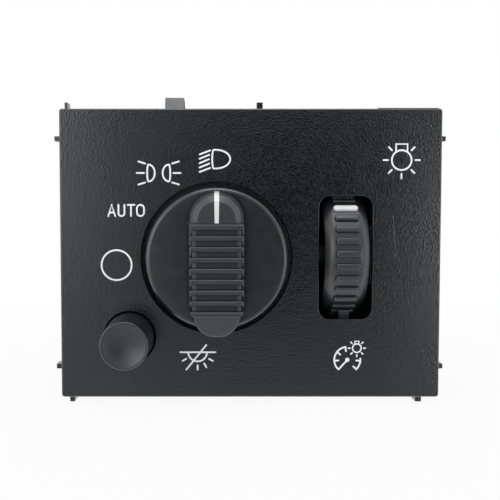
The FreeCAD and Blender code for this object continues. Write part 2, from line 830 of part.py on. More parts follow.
def dimmer_wheel():
    """Crowned rim with ribs, a thin web and a hub bored for the axle."""
    flat = wheel_crown_width / 2
    edge = wheel_tread_radius - wheel_shoulder_drop
    inner = wheel_tread_radius - wheel_rim
    web = wheel_web / 2

    def outline(at):
        bend_x = flat + (wheel_right - flat) * wheel_shoulder_bend
        bend_r = wheel_tread_radius - wheel_shoulder_drop * wheel_shoulder_fall
        return lines([at(-flat, wheel_tread_radius), at(flat, wheel_tread_radius)]) + [
            arc(at(flat, wheel_tread_radius), at(bend_x, bend_r), at(wheel_right, edge))] + lines([
                at(wheel_right, edge), at(wheel_right, inner), at(web, inner - wheel_rim / 3),
                at(web, wheel_hub_radius), at(right_ear_inner - contact_gap, wheel_hub_radius),
                at(right_ear_inner - contact_gap, axle_radius), at(hub_left, axle_radius),
                at(hub_left, wheel_hub_radius), at(-web, wheel_hub_radius),
                at(-web, inner - wheel_rim / 3), at(wheel_left, inner), at(wheel_left, edge)]) + [
            arc(at(wheel_left, edge), at(-bend_x, bend_r), at(-flat, wheel_tread_radius))]

    hub_left = wheel_left - left_ear_gap / 4
    body = wheel_ring(outline)
    ribs = [wheel_rib(i, 0) for i in range(rib_count) if i != marker_ribs_up + 1]
    return joined([body] + ribs).cut(dimmer_marker())


def dimmer_axle():
    return cross_rod(axle_radius, wheel_x + left_ear_inner - ear_thickness,
                     wheel_x + right_ear_inner + ear_thickness, wheel_y, wheel_z)


def dimmer_wiper():
    """Bronze contact plate on the wheel's hub with two fingers that run on the resistor card."""
    hub_left = wheel_x + wheel_left - left_ear_gap / 4
    plate = cross_rod(wiper_radius, hub_left - wiper_thickness, hub_left, wheel_y, wheel_z)
    bodies = [plate.cut(cross_rod(axle_radius, hub_left - 1, hub_left + 1, wheel_y, wheel_z))]
    path = contact_path(hub_left - wheel_x - card_face - contact_gap)
    for i in range(2):
        finger = strip(path, wiper_thickness,
                       lambda a, b: vec(hub_left - wiper_thickness / 2 - b, wheel_y + a,
                                        wheel_z + wiper_radius - wiper_finger_width * 1.5),
                       vec(0, 0, wiper_finger_width))
        finger.rotate(vec(wheel_x, wheel_y, wheel_z), vec(1, 0, 0), i * 180)
        bodies.append(finger)
    return joined(bodies)


def dimmer_resistor_card():
    half = card_size / 2
    card = block((wheel_x + left_ear_inner, wheel_x + card_face),
                 (max(wheel_y - half, slab_rear + seat_gap), wheel_y + half),
                 (wheel_z - half, wheel_z + half))
    return card.cut(cross_rod(axle_radius + card_hole_clearance, wheel_x + left_ear_inner - 1,
                              wheel_x + card_face + 1, wheel_y, wheel_z))


def dimmer_detent_spring():
    """Sprung tongue fixed behind the plate, which leans into the opening up to the ribs."""
    foot_y = slab_rear + leaf_thickness / 2
    path = [(foot_y, leaf_bend_z - leaf_foot), (foot_y, leaf_bend_z), (leaf_nose_y, leaf_nose_z)]
    return strip(path, leaf_thickness, lambda a, b: vec(wheel_x - leaf_width / 2, a, b),
                 vec(leaf_width, 0, 0))


def light_guide():
    """Clear sheet behind the plate that carries lamp light to the symbols, with two light pipes."""
    rear = slab_rear + light_guide_thickness
    half_width = inside_half_width - seat_gap
    half_height = inside_half_height - seat_gap
    sheet = block((-half_width, half_width), (slab_rear, rear), (-half_height, half_height))
    pipes = [rod(light_pipe_radius, x, lamp_z, slab_rear, rear + light_pipe_length)
             for x in (lamp_left_x, lamp_right_x)]
    wheel_cut = block((wheel_x + left_ear_inner - ear_thickness - light_guide_gap,
                       wheel_x + right_ear_inner + ear_thickness + light_guide_gap),
                      (slab_rear - 1, rear + 1),
                      (leaf_bend_z - leaf_foot - light_guide_gap,
                       opening_z + opening_height / 2 + wheel_rise + light_guide_gap))
    clip_cut = block((clip_x - clip_width, clip_x + clip_width), (slab_rear - 1, rear + 1),
                     (inside_half_height - clip_thickness * 2, inside_half_height + 1))
    cuts = [wheel_cut, clip_cut,
            rod(well_radius + well_wall + light_guide_gap, knob_x, knob_z, slab_rear - 1, rear + 1),
            rod(button_hole_radius + button_guide_wall + light_guide_gap, button_x, button_z,
                slab_rear - 1, rear + 1)]
    return joined([sheet] + pipes).cut(Part.makeCompound(cuts))


def screw_places():
    return [(x, z) for x in (-screw_x, screw_x) for z in (-screw_z, screw_z)]


def circuit_board():
    half_width = case_half_width - case_wall - seat_gap
    half_height = case_half_height - case_wall - seat_gap
    board = block((-half_width, half_width), (board_front, board_rear), (-half_height, half_height))
    holes = [rod(screw_shank_radius + contact_gap, x, z, board_front - 1, board_rear + 1)
             for x, z in screw_places()]
    return board.cut(Part.makeCompound(holes))


def board_screw(x, z):
    """Pan head screw with a cross recess."""
    head = rod(screw_head_radius, x, z, board_front - screw_head_height, board_front)
    head = head.makeChamfer(screw_head_height / 2, edges_at(head, board_front - screw_head_height))
    shank = rod(screw_shank_radius, x, z, board_front, board_front + screw_length)
    arm, slot = screw_head_radius * 0.6, screw_head_radius * 0.14
    depth = (board_front - screw_head_height - 1, board_front - screw_head_height / 2)
    cross = block((x - arm, x + arm), depth, (z - slot, z + slot)).fuse(
        block((x - slot, x + slot), depth, (z - arm, z + arm)))
    return head.fuse(shank).removeSplitter().cut(cross)


def lamp_socket(x):
    """Twist-in lamp holder on the board."""
    front = board_front - lamp_socket_height
    body = rod(lamp_socket_radius, x, lamp_z, front, board_front)
    ear = lamp_socket_radius + 1.2
    bar = block((x - ear, x + ear), (board_front - lamp_socket_height / 3, board_front),
                (lamp_z - 1.5, lamp_z + 1.5))
    return body.fuse(bar).removeSplitter().cut(
        rod(bulb_radius + running_gap, x, lamp_z, front - 1, board_front - 1))


def lamp_bulb(x):
    """Wedge-base lamp: a glass tube with a round tip, its foot in the holder."""
    foot = board_front - lamp_socket_height / 2
    tip = board_front - lamp_socket_height - bulb_length

    def at(radius, y):
        return vec(x + radius, y, lamp_z)

    bend = bulb_radius * math.sqrt(0.5)
    edges = [arc(at(0, tip), at(bend, tip + bulb_radius - bend), at(bulb_radius, tip + bulb_radius))]
    edges += lines([at(bulb_radius, tip + bulb_radius), at(bulb_radius, foot), at(0, foot), at(0, tip)])
    return turned(edges, vec(x, 0, lamp_z), vec(0, 1, 0))


def rear_housing():
    """Open-fronted case with board bosses, snap teeth, vents and the connector shroud."""
    case = soft_block((-case_half_width, case_half_width), (-case_lap, case_rear),
                      (-case_half_height, case_half_height), case_corner_radius)
    case = case.makeFillet(case_edge_radius, edges_at(case, case_rear))
    inner_half_width = case_half_width - case_wall
    inner_half_height = case_half_height - case_wall
    case = case.cut(block((-inner_half_width, inner_half_width), (-case_lap - 1, case_inner_rear),
                          (-inner_half_height, inner_half_height)))
    bodies = [case]
    for x, z in screw_places():
        bodies.append(rod(boss_radius, x, z, board_rear, case_inner_rear + case_rear_wall / 2))
    for x, z, out_x, out_z in snap_places():
        bodies.append(snap_block(x, z, out_x, out_z, case_wall / 2, snap_reach + rim_gap,
                                 snap_width / 2, (snap_front, snap_rear)))
    half, low = socket_width / 2, socket_z - socket_height / 2
    high = socket_z + socket_height / 2
    shroud = soft_block((socket_x - half, socket_x + half), (case_rear - case_rear_wall / 2, socket_rear),
                        (low, high), case_corner_radius)
    bodies.append(shroud)
    latch_x = socket_x - latch_width / 2
    bodies.append(prism([vec(latch_x, socket_rear - latch_length * 2, high - socket_wall / 2),
                         vec(latch_x, socket_rear - latch_length * 2, high + latch_height),
                         vec(latch_x, socket_rear - latch_length * 1.5, high + latch_height),
                         vec(latch_x, socket_rear - latch_length / 2, high - socket_wall / 2)],
                        vec(latch_width, 0, 0)))
    span = vent_pitch * (vent_count - 1) / 2
    for side in (-1, 1):
        z = vent_z + side * (vent_height / 2 + rib_rear_width * 2)
        bodies.append(block((vent_x - span - vent_pitch, vent_x + span + vent_pitch),
                            (case_rear - case_rear_wall / 2, case_rear + rib_rear_height),
                            (z - rib_rear_width / 2, z + rib_rear_width / 2)))
    cuts = [block((socket_x - half + socket_wall, socket_x + half - socket_wall),
                  (case_inner_rear - 1, socket_rear + 1), (low + socket_wall, high - socket_wall))]
    for x, z in screw_places():
        cuts.append(rod(screw_shank_radius + running_gap, x, z, board_rear - 1,
                        board_front + screw_length + seat_gap))
    for i in range(vent_count):
        x = vent_x - span + i * vent_pitch
        cuts.append(block((x - vent_width / 2, x + vent_width / 2), (case_inner_rear - 1, case_rear + 1),
                          (vent_z - vent_height / 2, vent_z + vent_height / 2)))
    body = joined(bodies).cut(Part.makeCompound(cuts))
    keys = [block((socket_x + side * half / 2 - key_width / 2, socket_x + side * half / 2 + key_width / 2),
                  (case_rear + header_step + seat_gap, socket_rear - seat_gap * 2),
                  (high - socket_wall - key_height, high - socket_wall / 2)) for side in (-1, 1)]
    return body.multiFuse(keys).removeSplitter()


def terminal_places():
    """Middle of each terminal, column by column."""
    places = []
    for column in range(terminal_columns):
        for row in range(terminal_rows):
            places.append((socket_x + (column - (terminal_columns - 1) / 2) * terminal_pitch,
                           socket_z + (row - (terminal_rows - 1) / 2) * terminal_row_pitch))
    return places


def terminal(x, z):
    """Flat blade from the board to the mouth of the socket, with a bevelled tip."""
    tip = socket_rear - terminal_recess
    blade = block((x - terminal_width / 2, x + terminal_width / 2), (board_rear, tip),
                  (z - terminal_thickness / 2, z + terminal_thickness / 2))
    return blade.makeChamfer(terminal_thickness * 0.3, edges_at(blade, tip))


def connector_header():
    """Moulded block that holds the terminals in the mouth of the shroud."""
    half_width = socket_width / 2 - socket_wall - seat_gap
    half_height = socket_height / 2 - socket_wall - seat_gap
    body = block((socket_x - half_width, socket_x + half_width), (board_rear, case_rear + header_step),
                 (socket_z - half_height, socket_z + half_height))
    return body.cut(Part.makeCompound([terminal(x, z) for x, z in terminal_places()]))


def retaining_clip():
    """Bent spring steel strip hooked through the top of the skirt, arched above the plate."""
    inner = inside_half_height - clip_thickness / 2
    outer = skirt_half_height + clip_thickness / 2
    crest = plate_height / 2 + clip_rise - clip_thickness / 2
    slot = slab_rear + clip_slot_setback
    path = [(slot + clip_hook, inner), (slot, inner), (slot, outer), (slot + clip_rise / 2, outer),
            (slot + clip_rise, crest), (slot + clip_rise * 2, crest),
            (slot + clip_rise * 3, outer + clip_thickness)]
    return strip(path, clip_thickness, lambda a, b: vec(clip_x - clip_width / 2, a, b),
                 vec(clip_width, 0, 0))


pieces = {
    "faceplate": faceplate(),
    "rear_housing": rear_housing(),
    "light_guide": light_guide(),
    "circuit_board": circuit_board(),
    "connector_header": connector_header(),
    "push_switch_body": push_switch_body(),
    "button_spring": button_spring(),
    "detent_ball": detent_ball(),
    "detent_spring": detent_spring(),
    "dimmer_resistor_card": dimmer_resistor_card(),
    "dimmer_detent_spring": dimmer_detent_spring(),
    "left_lamp_socket": lamp_socket(lamp_left_x),
    "right_lamp_socket": lamp_socket(lamp_right_x),
    "left_lamp_bulb": lamp_bulb(lamp_left_x),
    "right_lamp_bulb": lamp_bulb(lamp_right_x),
    "retaining_clip": retaining_clip(),
    "knob": knob(),
    "knob_pointer": pointer(),
    "rotor": rotor(),
    "rotor_wiper": rotor_wiper(),
    "rotor_retaining_ring": rotor_retaining_ring(),
    "button_cap": button_cap(),
    "switch_plunger": switch_plunger(),
    "dimmer_wheel": dimmer_wheel(),
    "dimmer_marker": dimmer_marker(),
    "dimmer_axle": dimmer_axle(),
    "dimmer_wiper": dimmer_wiper(),
}
for number, (x, z) in enumerate(screw_places(), 1):
    pieces["board_screw_%d" % number] = board_screw(x, z)
for number, (x, z) in enumerate(terminal_places(), 1):
    pieces["terminal_%02d" % number] = terminal(x, z)

os.makedirs("parts", exist_ok=True)
for name, shape in pieces.items():
    solids = shape.Solids
    print(name, len(solids), "solids", round(shape.Volume, 1), "mm3", shape.isValid())
    solid = solids[0] if len(solids) == 1 else shape
    solid.exportStep(os.path.join("parts", name + ".step"))
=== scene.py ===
import math

import bmesh
import bpy
from bpy.props import FloatProperty, FloatVectorProperty, IntProperty, PointerProperty
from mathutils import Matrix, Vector


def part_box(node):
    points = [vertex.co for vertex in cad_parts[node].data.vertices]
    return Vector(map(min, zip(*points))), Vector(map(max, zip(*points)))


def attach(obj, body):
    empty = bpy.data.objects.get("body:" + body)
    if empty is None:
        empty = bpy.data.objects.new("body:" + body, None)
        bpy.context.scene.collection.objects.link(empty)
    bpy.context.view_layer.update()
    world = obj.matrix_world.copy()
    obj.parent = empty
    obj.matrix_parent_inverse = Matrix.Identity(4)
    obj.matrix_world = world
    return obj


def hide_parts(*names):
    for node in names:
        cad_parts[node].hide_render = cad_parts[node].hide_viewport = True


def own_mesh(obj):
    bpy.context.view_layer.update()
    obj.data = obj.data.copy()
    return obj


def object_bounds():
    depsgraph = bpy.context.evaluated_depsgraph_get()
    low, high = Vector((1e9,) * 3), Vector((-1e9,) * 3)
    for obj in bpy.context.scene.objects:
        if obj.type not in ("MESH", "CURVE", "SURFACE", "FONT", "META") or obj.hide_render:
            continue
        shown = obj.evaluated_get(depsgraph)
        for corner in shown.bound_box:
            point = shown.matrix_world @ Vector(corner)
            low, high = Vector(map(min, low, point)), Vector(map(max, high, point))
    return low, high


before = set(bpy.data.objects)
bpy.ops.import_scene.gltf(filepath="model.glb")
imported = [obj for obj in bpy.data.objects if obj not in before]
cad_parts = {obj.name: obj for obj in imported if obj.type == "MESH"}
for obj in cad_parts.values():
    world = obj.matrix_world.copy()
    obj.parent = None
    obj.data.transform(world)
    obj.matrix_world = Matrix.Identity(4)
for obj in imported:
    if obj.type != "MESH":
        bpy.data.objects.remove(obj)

bl_info = {
    "name": "Headlight Switch",
    "version": (1, 0, 0),
    "blender": (4, 5, 0),
    "location": "3D View > Sidebar > Switch",
    "description": "Dresses a dashboard headlight switch with its plate, knob, button, thumbwheel and case",
    "category": "Object",
}

# Units: every length is in metres, and a length in millimetres is written as a multiple of MM.
MM = 0.001
DEG = math.pi / 180

# Places taken from the solids
CAD_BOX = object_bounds()
FACE_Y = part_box("faceplate")[0].y
FLOOR_Z = CAD_BOX[0].z


def middle(node):
    """Middle of a solid's box."""
    low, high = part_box(node)
    return (low + high) / 2


WHEEL_AXLE = Vector((middle("dimmer_marker").x, middle("dimmer_wheel").y, middle("dimmer_wheel").z))
WHEEL_TIP_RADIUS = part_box("dimmer_wheel")[1].z - WHEEL_AXLE.z

# The knob's grip begins in front of its disc, which stands out of the plate and is domed.
DISC_PROUD = 4.5 * MM
DISC_DOME = 1 * MM
GRIP_Y = FACE_Y - DISC_PROUD - DISC_DOME

# Ends of the faint scratch on the plate, across and up from the plate's middle
SCRATCH_FOOT = (38.9 * MM, -0.4 * MM)
SCRATCH_HEAD = (38.1 * MM, 10.6 * MM)

# Place and width of each square softbox, and the setting that holds its power
SOFTBOXES = {
    "Softbox_left": ((-0.43, -0.62, 0.14), 0.45, "key_power"),
    "Softbox_right": ((0.39, -0.55, -0.03), 0.24, "side_power"),
    "Softbox_top": ((0.0, -0.25, 0.7), 0.4, "top_power"),
}


def linear(code):
    """Linear colour with alpha from an sRGB hex code."""
    parts = [int(code[i:i + 2], 16) / 255 for i in (1, 3, 5)]
    return tuple(c / 12.92 if c <= 0.04045 else ((c + 0.055) / 1.055) ** 2.4 for c in parts) + (1.0,)


def length(label, note, default):
    return FloatProperty(name=label, description=note, default=default, unit="LENGTH", precision=5)


def share(label, note, default):
    return FloatProperty(name=label, description=note, default=default, min=0, max=1, subtype="FACTOR")


def level(label, note, default):
    return FloatProperty(name=label, description=note, default=default, min=0)


def power(label, note, default):
    return FloatProperty(name=label, description=note, default=default, min=0, unit="POWER")


def tilt(label, note, default):
    return FloatProperty(name=label, description=note, default=default, subtype="ANGLE")


def colour(label, note, code):
    return FloatVectorProperty(name=label, description=note, default=linear(code), subtype="COLOR", size=4,
                               min=0, max=1)


class SwitchPlateSettings(bpy.types.PropertyGroup):
    """Front plate."""
    plastic: colour("Plate plastic", "Colour of the moulded plate", "#0c1318")
    roughness: share("Roughness", "Roughness of the plate between its grains", 0.13)
    # The real grain is finer. It is drawn as coarse as it needs to be to show.
    grain: length("Grain", "Spacing of the eroded grain on the plate", 0.46 * MM)
    grain_depth: length("Grain depth", "Height of the eroded grain", 0.039 * MM)
    edge: length("Edge", "Width of the broken edge round the openings", 0.18 * MM)
    scratch: colour("Scratch", "Colour of the faint scratch beside the thumbwheel", "#686c70")
    scratch_width: length("Scratch width", "Width of the faint scratch", 0.22 * MM)


class SwitchLegendSettings(bpy.types.PropertyGroup):
    """Printed symbols on the plate."""
    ink: colour("Ink", "Colour of the printed symbols", "#f5f6f7")
    stroke: length("Stroke", "Width of a printed line", 0.47 * MM)
    fine_stroke: length("Fine stroke", "Width of a line of the small lamp symbol", 0.38 * MM)
    thickness: length("Ink thickness", "Height of the print above the plate", 0.05 * MM)


class SwitchKnobSettings(bpy.types.PropertyGroup):
    """Rotary knob."""
    plastic: colour("Knob plastic", "Colour of the knob", "#171b1f")
    roughness: share("Disc roughness", "Roughness of the knob's disc", 0.24)
    grip_roughness: share("Grip roughness", "Roughness of the grip, which handling has dulled", 0.38)
    # Finer than the plate's, and also drawn coarser than the real grain
    grain: length("Grain", "Spacing of the fine grain on the knob", 0.22 * MM)
    grain_depth: length("Grain depth", "Height of the fine grain", 0.012 * MM)
    edge: length("Edge", "Rounding of the ridges of the grip", 0.42 * MM)
    pointer: colour("Pointer", "Colour of the white insert", "#d8d9d9")
    pointer_roughness: share("Pointer roughness", "Roughness of the white insert", 0.42)


class SwitchButtonSettings(bpy.types.PropertyGroup):
    """Push button."""
    plastic: colour("Button plastic", "Colour of the push button", "#1c2023")
    roughness: share("Roughness", "Roughness of the push button", 0.33)
    edge: length("Edge", "Rounding of the edges of the button", 0.2 * MM)
    travel: length("Travel", "How far the button goes in", 3 * MM)


class SwitchWheelSettings(bpy.types.PropertyGroup):
    """Dimmer thumbwheel."""
    plastic: colour("Wheel plastic", "Colour of the thumbwheel", "#202327")
    roughness: share("Roughness", "Roughness of the thumbwheel", 0.36)
    ribs: IntProperty(name="Ribs", description="Rib places round the tread", default=32, min=6, max=90)
    phase: share("Phase", "Share of a rib's pitch from the first rib up to the front", 0.82)
    rib_length: length("Rib length", "Length of a rib across the tread", 6.65 * MM)
    rib_width: length("Rib width", "Width of a rib along the tread", 1.85 * MM)
    rib_height: length("Rib height", "Height of a rib above the tread", 0.85 * MM)
    rib_round: length("Rib rounding", "Radius of the upper edge of a rib", 0.5 * MM)
    marker: colour("Marker", "Colour of the white marker", "#dddede")
    marker_roughness: share("Marker roughness", "Roughness of the white marker", 0.42)
    width: length("Width", "Width of the wheel", 11.55 * MM)
    crown: length("Crown", "Width of the flat part of the tread", 6.2 * MM)
    shoulder_drop: length("Shoulder drop", "How far the tread falls to its edges", 1.6 * MM)
    rim: length("Rim", "Thickness of the rim under the tread", 3 * MM)
    web: length("Web", "Thickness of the web", 2.4 * MM)
    hub: length("Hub", "Radius of the hub", 3.6 * MM)


class SwitchCaseSettings(bpy.types.PropertyGroup):
    """Rear case and retaining clip."""
    plastic: colour("Case plastic", "Colour of the rear case", "#17181a")
    roughness: share("Roughness", "Roughness of the rear case", 0.48)
    edge: length("Edge", "Rounding of the edges of the case", 0.25 * MM)
    clip: colour("Clip", "Colour of the plated clip", "#4e4f51")
    clip_roughness: share("Clip roughness", "Roughness of the plated clip", 0.45)


class SwitchStageSettings(bpy.types.PropertyGroup):
    """Camera, lamps and floor."""
    distance: length("Distance", "From the camera to the plate's face", 205 * MM)
    frame_width: length("Frame width", "Width of the picture at the plate's face", 133.7 * MM)
    camera_x: length("Camera across", "Camera's place to the left or right of the plate's middle", -9 * MM)
    camera_z: length("Camera up", "Camera's height above the plate's middle", 13 * MM)
    pitch: tilt("Pitch", "Angle at which the camera looks down", 3 * DEG)
    aim_x: length("Aim across", "Place on the plate that the middle of the picture shows", -0.15 * MM)
    aim_z: length("Aim up", "Height on the plate that the middle of the picture shows", 1.13 * MM)
    floor: colour("Floor", "Colour of the floor", "#e9eaeb")
    floor_white: share("Floor white", "Share of plain white in the floor as seen", 0.93)
    floor_near: length("Floor near", "How far round the switch the floor keeps its own look", 80 * MM)
    floor_far: length("Floor far", "Distance from which the floor is plain white", 300 * MM)
    fill: level("Fill", "Level of the plain light from all round", 0.5)
    room_level: level("Room level", "Brightness of the room behind the camera", 0.0)
    room_start: tilt("Dark to", "Angle from the view line to which the room is dark", 5 * DEG)
    room_end: tilt("Bright from", "Angle from which the surroundings are white", 15 * DEG)
    room_turn: tilt("Room turn", "How far right of the view line the room is darkest", 5.5 * DEG)
    tent: level("Tent", "Brightness of the white tent to the sides and above", 2.2)
    tent_start: tilt("Tent from", "Angle from the view line at which the tent begins", 35 * DEG)
    tent_end: tilt("Tent full", "Angle from which the tent has its full brightness", 75 * DEG)
    key_power: power("Left softbox", "Power of the left softbox", 1.9)
    side_power: power("Right softbox", "Power of the right softbox", 0.8)
    top_power: power("Top softbox", "Power of the top softbox", 1.8)


class SwitchSettings(bpy.types.PropertyGroup):
    """All settings of the headlight switch."""
    plate: PointerProperty(type=SwitchPlateSettings)
    legends: PointerProperty(type=SwitchLegendSettings)
    knob: PointerProperty(type=SwitchKnobSettings)
    button: PointerProperty(type=SwitchButtonSettings)
    wheel: PointerProperty(type=SwitchWheelSettings)
    case: PointerProperty(type=SwitchCaseSettings)
    stage: PointerProperty(type=SwitchStageSettings)


def join(socket, *sources):
    """Links sources to an input. A node stands for its first output."""
    for source in sources:
        output = source.outputs[0] if isinstance(source, bpy.types.Node) else source
        socket.id_data.links.new(output, socket)


def add(tree, kind, inputs=None, **settings):
    """Adds one node with its settings, and fills its inputs or links them, to each source in a list."""
    node = tree.nodes.new(kind)
    for name, value in settings.items():
        setattr(node, name, value)
    for key, value in (inputs or {}).items():
        if isinstance(value, (bpy.types.Node, bpy.types.NodeSocket)):
            join(node.inputs[key], value)
        elif isinstance(value, list):
            join(node.inputs[key], *value)
        else:
            node.inputs[key].default_value = value
    return node


def connect(shader, **sources):
    """Links sources to the shader's inputs. A name has _ where the input's has a space."""
    for name, source in sources.items():
        join(shader.inputs[name.replace("_", " ")], source)


def main_shader(material):
    return material.node_tree.nodes["Principled BSDF"]


def scale_for(size):
    """Texture scale on Object coordinates for a pattern of that real size."""
    return 1 / size


def new_material(name, base, roughness, **sockets):
    """Material with one main shader. Returns it with its tree, shader and Object coordinates."""
    material = bpy.data.materials.new(name)
    material.use_nodes = True
    material.diffuse_color = base
    tree = material.node_tree
    shader = main_shader(material)
    shader.inputs["Base Color"].default_value = base
    shader.inputs["Roughness"].default_value = roughness
    for socket, value in sockets.items():
        shader.inputs[socket.replace("_", " ")].default_value = value
    place = add(tree, "ShaderNodeTexCoord").outputs["Object"]
    return material, tree, shader, place


# Nearly all of a noise lies between these two values
NOISE_LOW, NOISE_HIGH = 0.3, 0.7


def varied(tree, place, size, low, high):
    """Slow noise of a real size, spread between two values."""
    noise = add(tree, "ShaderNodeTexNoise", {"Vector": place, "Scale": scale_for(size), "Detail": 3.0})
    return add(tree, "ShaderNodeMapRange", {
        "Value": noise, "From Min": NOISE_LOW, "From Max": NOISE_HIGH, "To Min": low, "To Max": high})


def tinted(tree, place, base, size, low, high):
    """The base colour, made slowly darker and lighter over the surface."""
    factor = varied(tree, place, size, low, high)
    return add(tree, "ShaderNodeVectorMath", {0: base[:3], "Scale": factor}, operation="SCALE")


def shaded_hollows(material, reach, low=0.05, own=True):
    """Paints shade into narrow hollows by taking gloss away where little light comes in. With own, a piece
    is shaded by itself alone."""
    hidden, open_ground = 0.25, 0.95
    full_gloss = 0.5
    tree = material.node_tree
    open_sky = add(tree, "ShaderNodeAmbientOcclusion", {"Distance": reach}, samples=8, only_local=own)
    gloss = add(tree, "ShaderNodeMapRange", {
        "Value": open_sky.outputs["AO"], "From Min": hidden, "From Max": open_ground,
        "To Min": low, "To Max": full_gloss})
    connect(main_shader(material), Specular_IOR_Level=gloss)


def eroded_grain(tree, place, grain):
    """Height of a spark-eroded mould surface: craters of the grain's size, with finer pits in them."""
    pit_size, pit_share = grain * 0.6, 0.4
    craters = add(tree, "ShaderNodeTexVoronoi", {"Vector": place, "Scale": scale_for(grain)})
    pits = add(tree, "ShaderNodeTexNoise", {"Vector": place, "Scale": scale_for(pit_size), "Detail": 1.0})
    return add(tree, "ShaderNodeMath", {0: pits, 1: pit_share, 2: craters}, operation="MULTIPLY_ADD")


def grained_surface(name, base, grain, depth, roughness):
    """Surface with the grain of a spark-eroded tool: satin, with a fine grain that glints at an angle, and
    patches that are a little duller than others."""
    clouds, patches, patch_change = 9 * MM, 3 * MM, 0.04
    material, tree, shader, place = new_material(name, base, roughness, IOR=1.53)
    bump = add(tree, "ShaderNodeBump", {"Height": eroded_grain(tree, place, grain), "Distance": depth})
    connect(shader, Base_Color=tinted(tree, place, base, clouds, 0.92, 1.08),
            Roughness=varied(tree, place, patches, roughness - patch_change, roughness + patch_change),
            Normal=bump)
    return material


def moulded_plastic(name, base, roughness, ior=1.5):
    """Plastic from a ground mould: an even colour with faint flow marks, and gloss that a fine orange peel
    breaks up. The real peel is finer, and is drawn at 0.3 mm so that it shows."""
    flow, peel_size, peel_depth = 6 * MM, 0.3 * MM, 0.004 * MM
    material, tree, shader, place = new_material(name, base, roughness, IOR=ior)
    peel = add(tree, "ShaderNodeTexNoise", {"Vector": place, "Scale": scale_for(peel_size), "Detail": 4.0})
    bump = add(tree, "ShaderNodeBump", {"Height": peel, "Distance": peel_depth})
    connect(shader, Base_Color=tinted(tree, place, base, flow, 0.9, 1.1), Normal=bump)
    return material


def drawn_metal(name, base, roughness):
    """Drawn or rolled metal, bare or plated: a soft metal gloss, streaked by fine drawing lines. The real
    lines are finer, and are drawn at 0.12 mm so that they show."""
    line, line_depth, spots = 0.12 * MM, 0.004 * MM, 2 * MM
    stretch = (1.0, 0.08, 0.08)
    material, tree, shader, place = new_material(name, base, roughness, Metallic=1.0)
    stretched = add(tree, "ShaderNodeMapping", {"Vector": place, "Scale": stretch})
    lines = add(tree, "ShaderNodeTexNoise", {"Vector": stretched, "Scale": scale_for(line), "Detail": 3.0})
    polish = add(tree, "ShaderNodeMapRange", {
        "Value": lines, "To Min": roughness - 0.08, "To Max": roughness + 0.1})
    bump = add(tree, "ShaderNodeBump", {"Height": lines, "Distance": line_depth})
    connect(shader, Base_Color=tinted(tree, place, base, spots, 0.85, 1.05), Roughness=polish, Normal=bump)
    return material


def clear_moulding(name, base, roughness, ior):
    """Clear moulding or drawn glass: see-through, with a faint haze in places."""
    haze_size, haze = 2 * MM, 0.06
    material, tree, shader, place = new_material(name, base, roughness, IOR=ior, Transmission_Weight=1.0)
    connect(shader, Roughness=varied(tree, place, haze_size, roughness, roughness + haze))
    return material


def printed_ink(base):
    """Screen-printed white ink: matt, and very slightly uneven where it lies over the grain."""
    material, tree, shader, place = new_material("White screen ink", base, 0.55, IOR=1.5)
    connect(shader, Base_Color=tinted(tree, place, base, 0.5 * MM, 0.93, 1.0))
    return material


def solder_mask_board():
    """Glass-fibre laminate under green solder mask: glossy, with paler lines where copper runs beneath."""
    track_length, track_height = 8 * MM, 0.03 * MM
    base = linear("#1f5236")
    material, tree, shader, place = new_material("Laminate with green solder mask", base, 0.32, IOR=1.55)
    turned = add(tree, "ShaderNodeMapping", {"Vector": place, "Rotation": (90 * DEG, 0, 0)})
    tracks = add(tree, "ShaderNodeTexBrick", {
        "Vector": turned, "Color1": linear("#2f7048"), "Color2": linear("#2a6843"), "Mortar": base,
        "Scale": scale_for(track_length), "Mortar Size": 0.035, "Brick Width": 0.9, "Row Height": 0.16})
    bump = add(tree, "ShaderNodeBump", {"Height": tracks.outputs["Fac"], "Distance": track_height})
    connect(shader, Base_Color=tracks.outputs["Color"], Normal=bump)
    return material


def scratched(material, base, width):
    """Adds the faint pale scratch to the plate, broken up as a light scuff is."""
    (foot_x, foot_z), (head_x, head_z) = SCRATCH_FOOT, SCRATCH_HEAD
    tree, shader = material.node_tree, main_shader(material)
    place = add(tree, "ShaderNodeTexCoord").outputs["Object"]
    across, _, up = add(tree, "ShaderNodeSeparateXYZ", {0: place}).outputs
    lean = (head_x - foot_x) / (head_z - foot_z)
    line = add(tree, "ShaderNodeMath", {0: up, 1: lean, 2: foot_x - foot_z * lean}, operation="MULTIPLY_ADD")
    beside = add(tree, "ShaderNodeMath", {0: across, 1: line, 2: width / 2}, operation="COMPARE")
    along = add(tree, "ShaderNodeMath", {0: up, 1: (foot_z + head_z) / 2, 2: abs(head_z - foot_z) / 2},
                operation="COMPARE")
    scuffed = varied(tree, place, 0.6 * MM, 0.0, 0.8)
    inside = add(tree, "ShaderNodeMath", {0: beside, 1: along}, operation="MULTIPLY")
    cover = add(tree, "ShaderNodeMath", {0: inside, 1: scuffed}, operation="MULTIPLY")
    plain = shader.inputs["Base Color"].links[0].from_socket
    mixed = add(tree, "ShaderNodeMix", {"Factor": cover, "A": plain, "B": base}, data_type="RGBA")
    connect(shader, Base_Color=mixed.outputs["Result"])


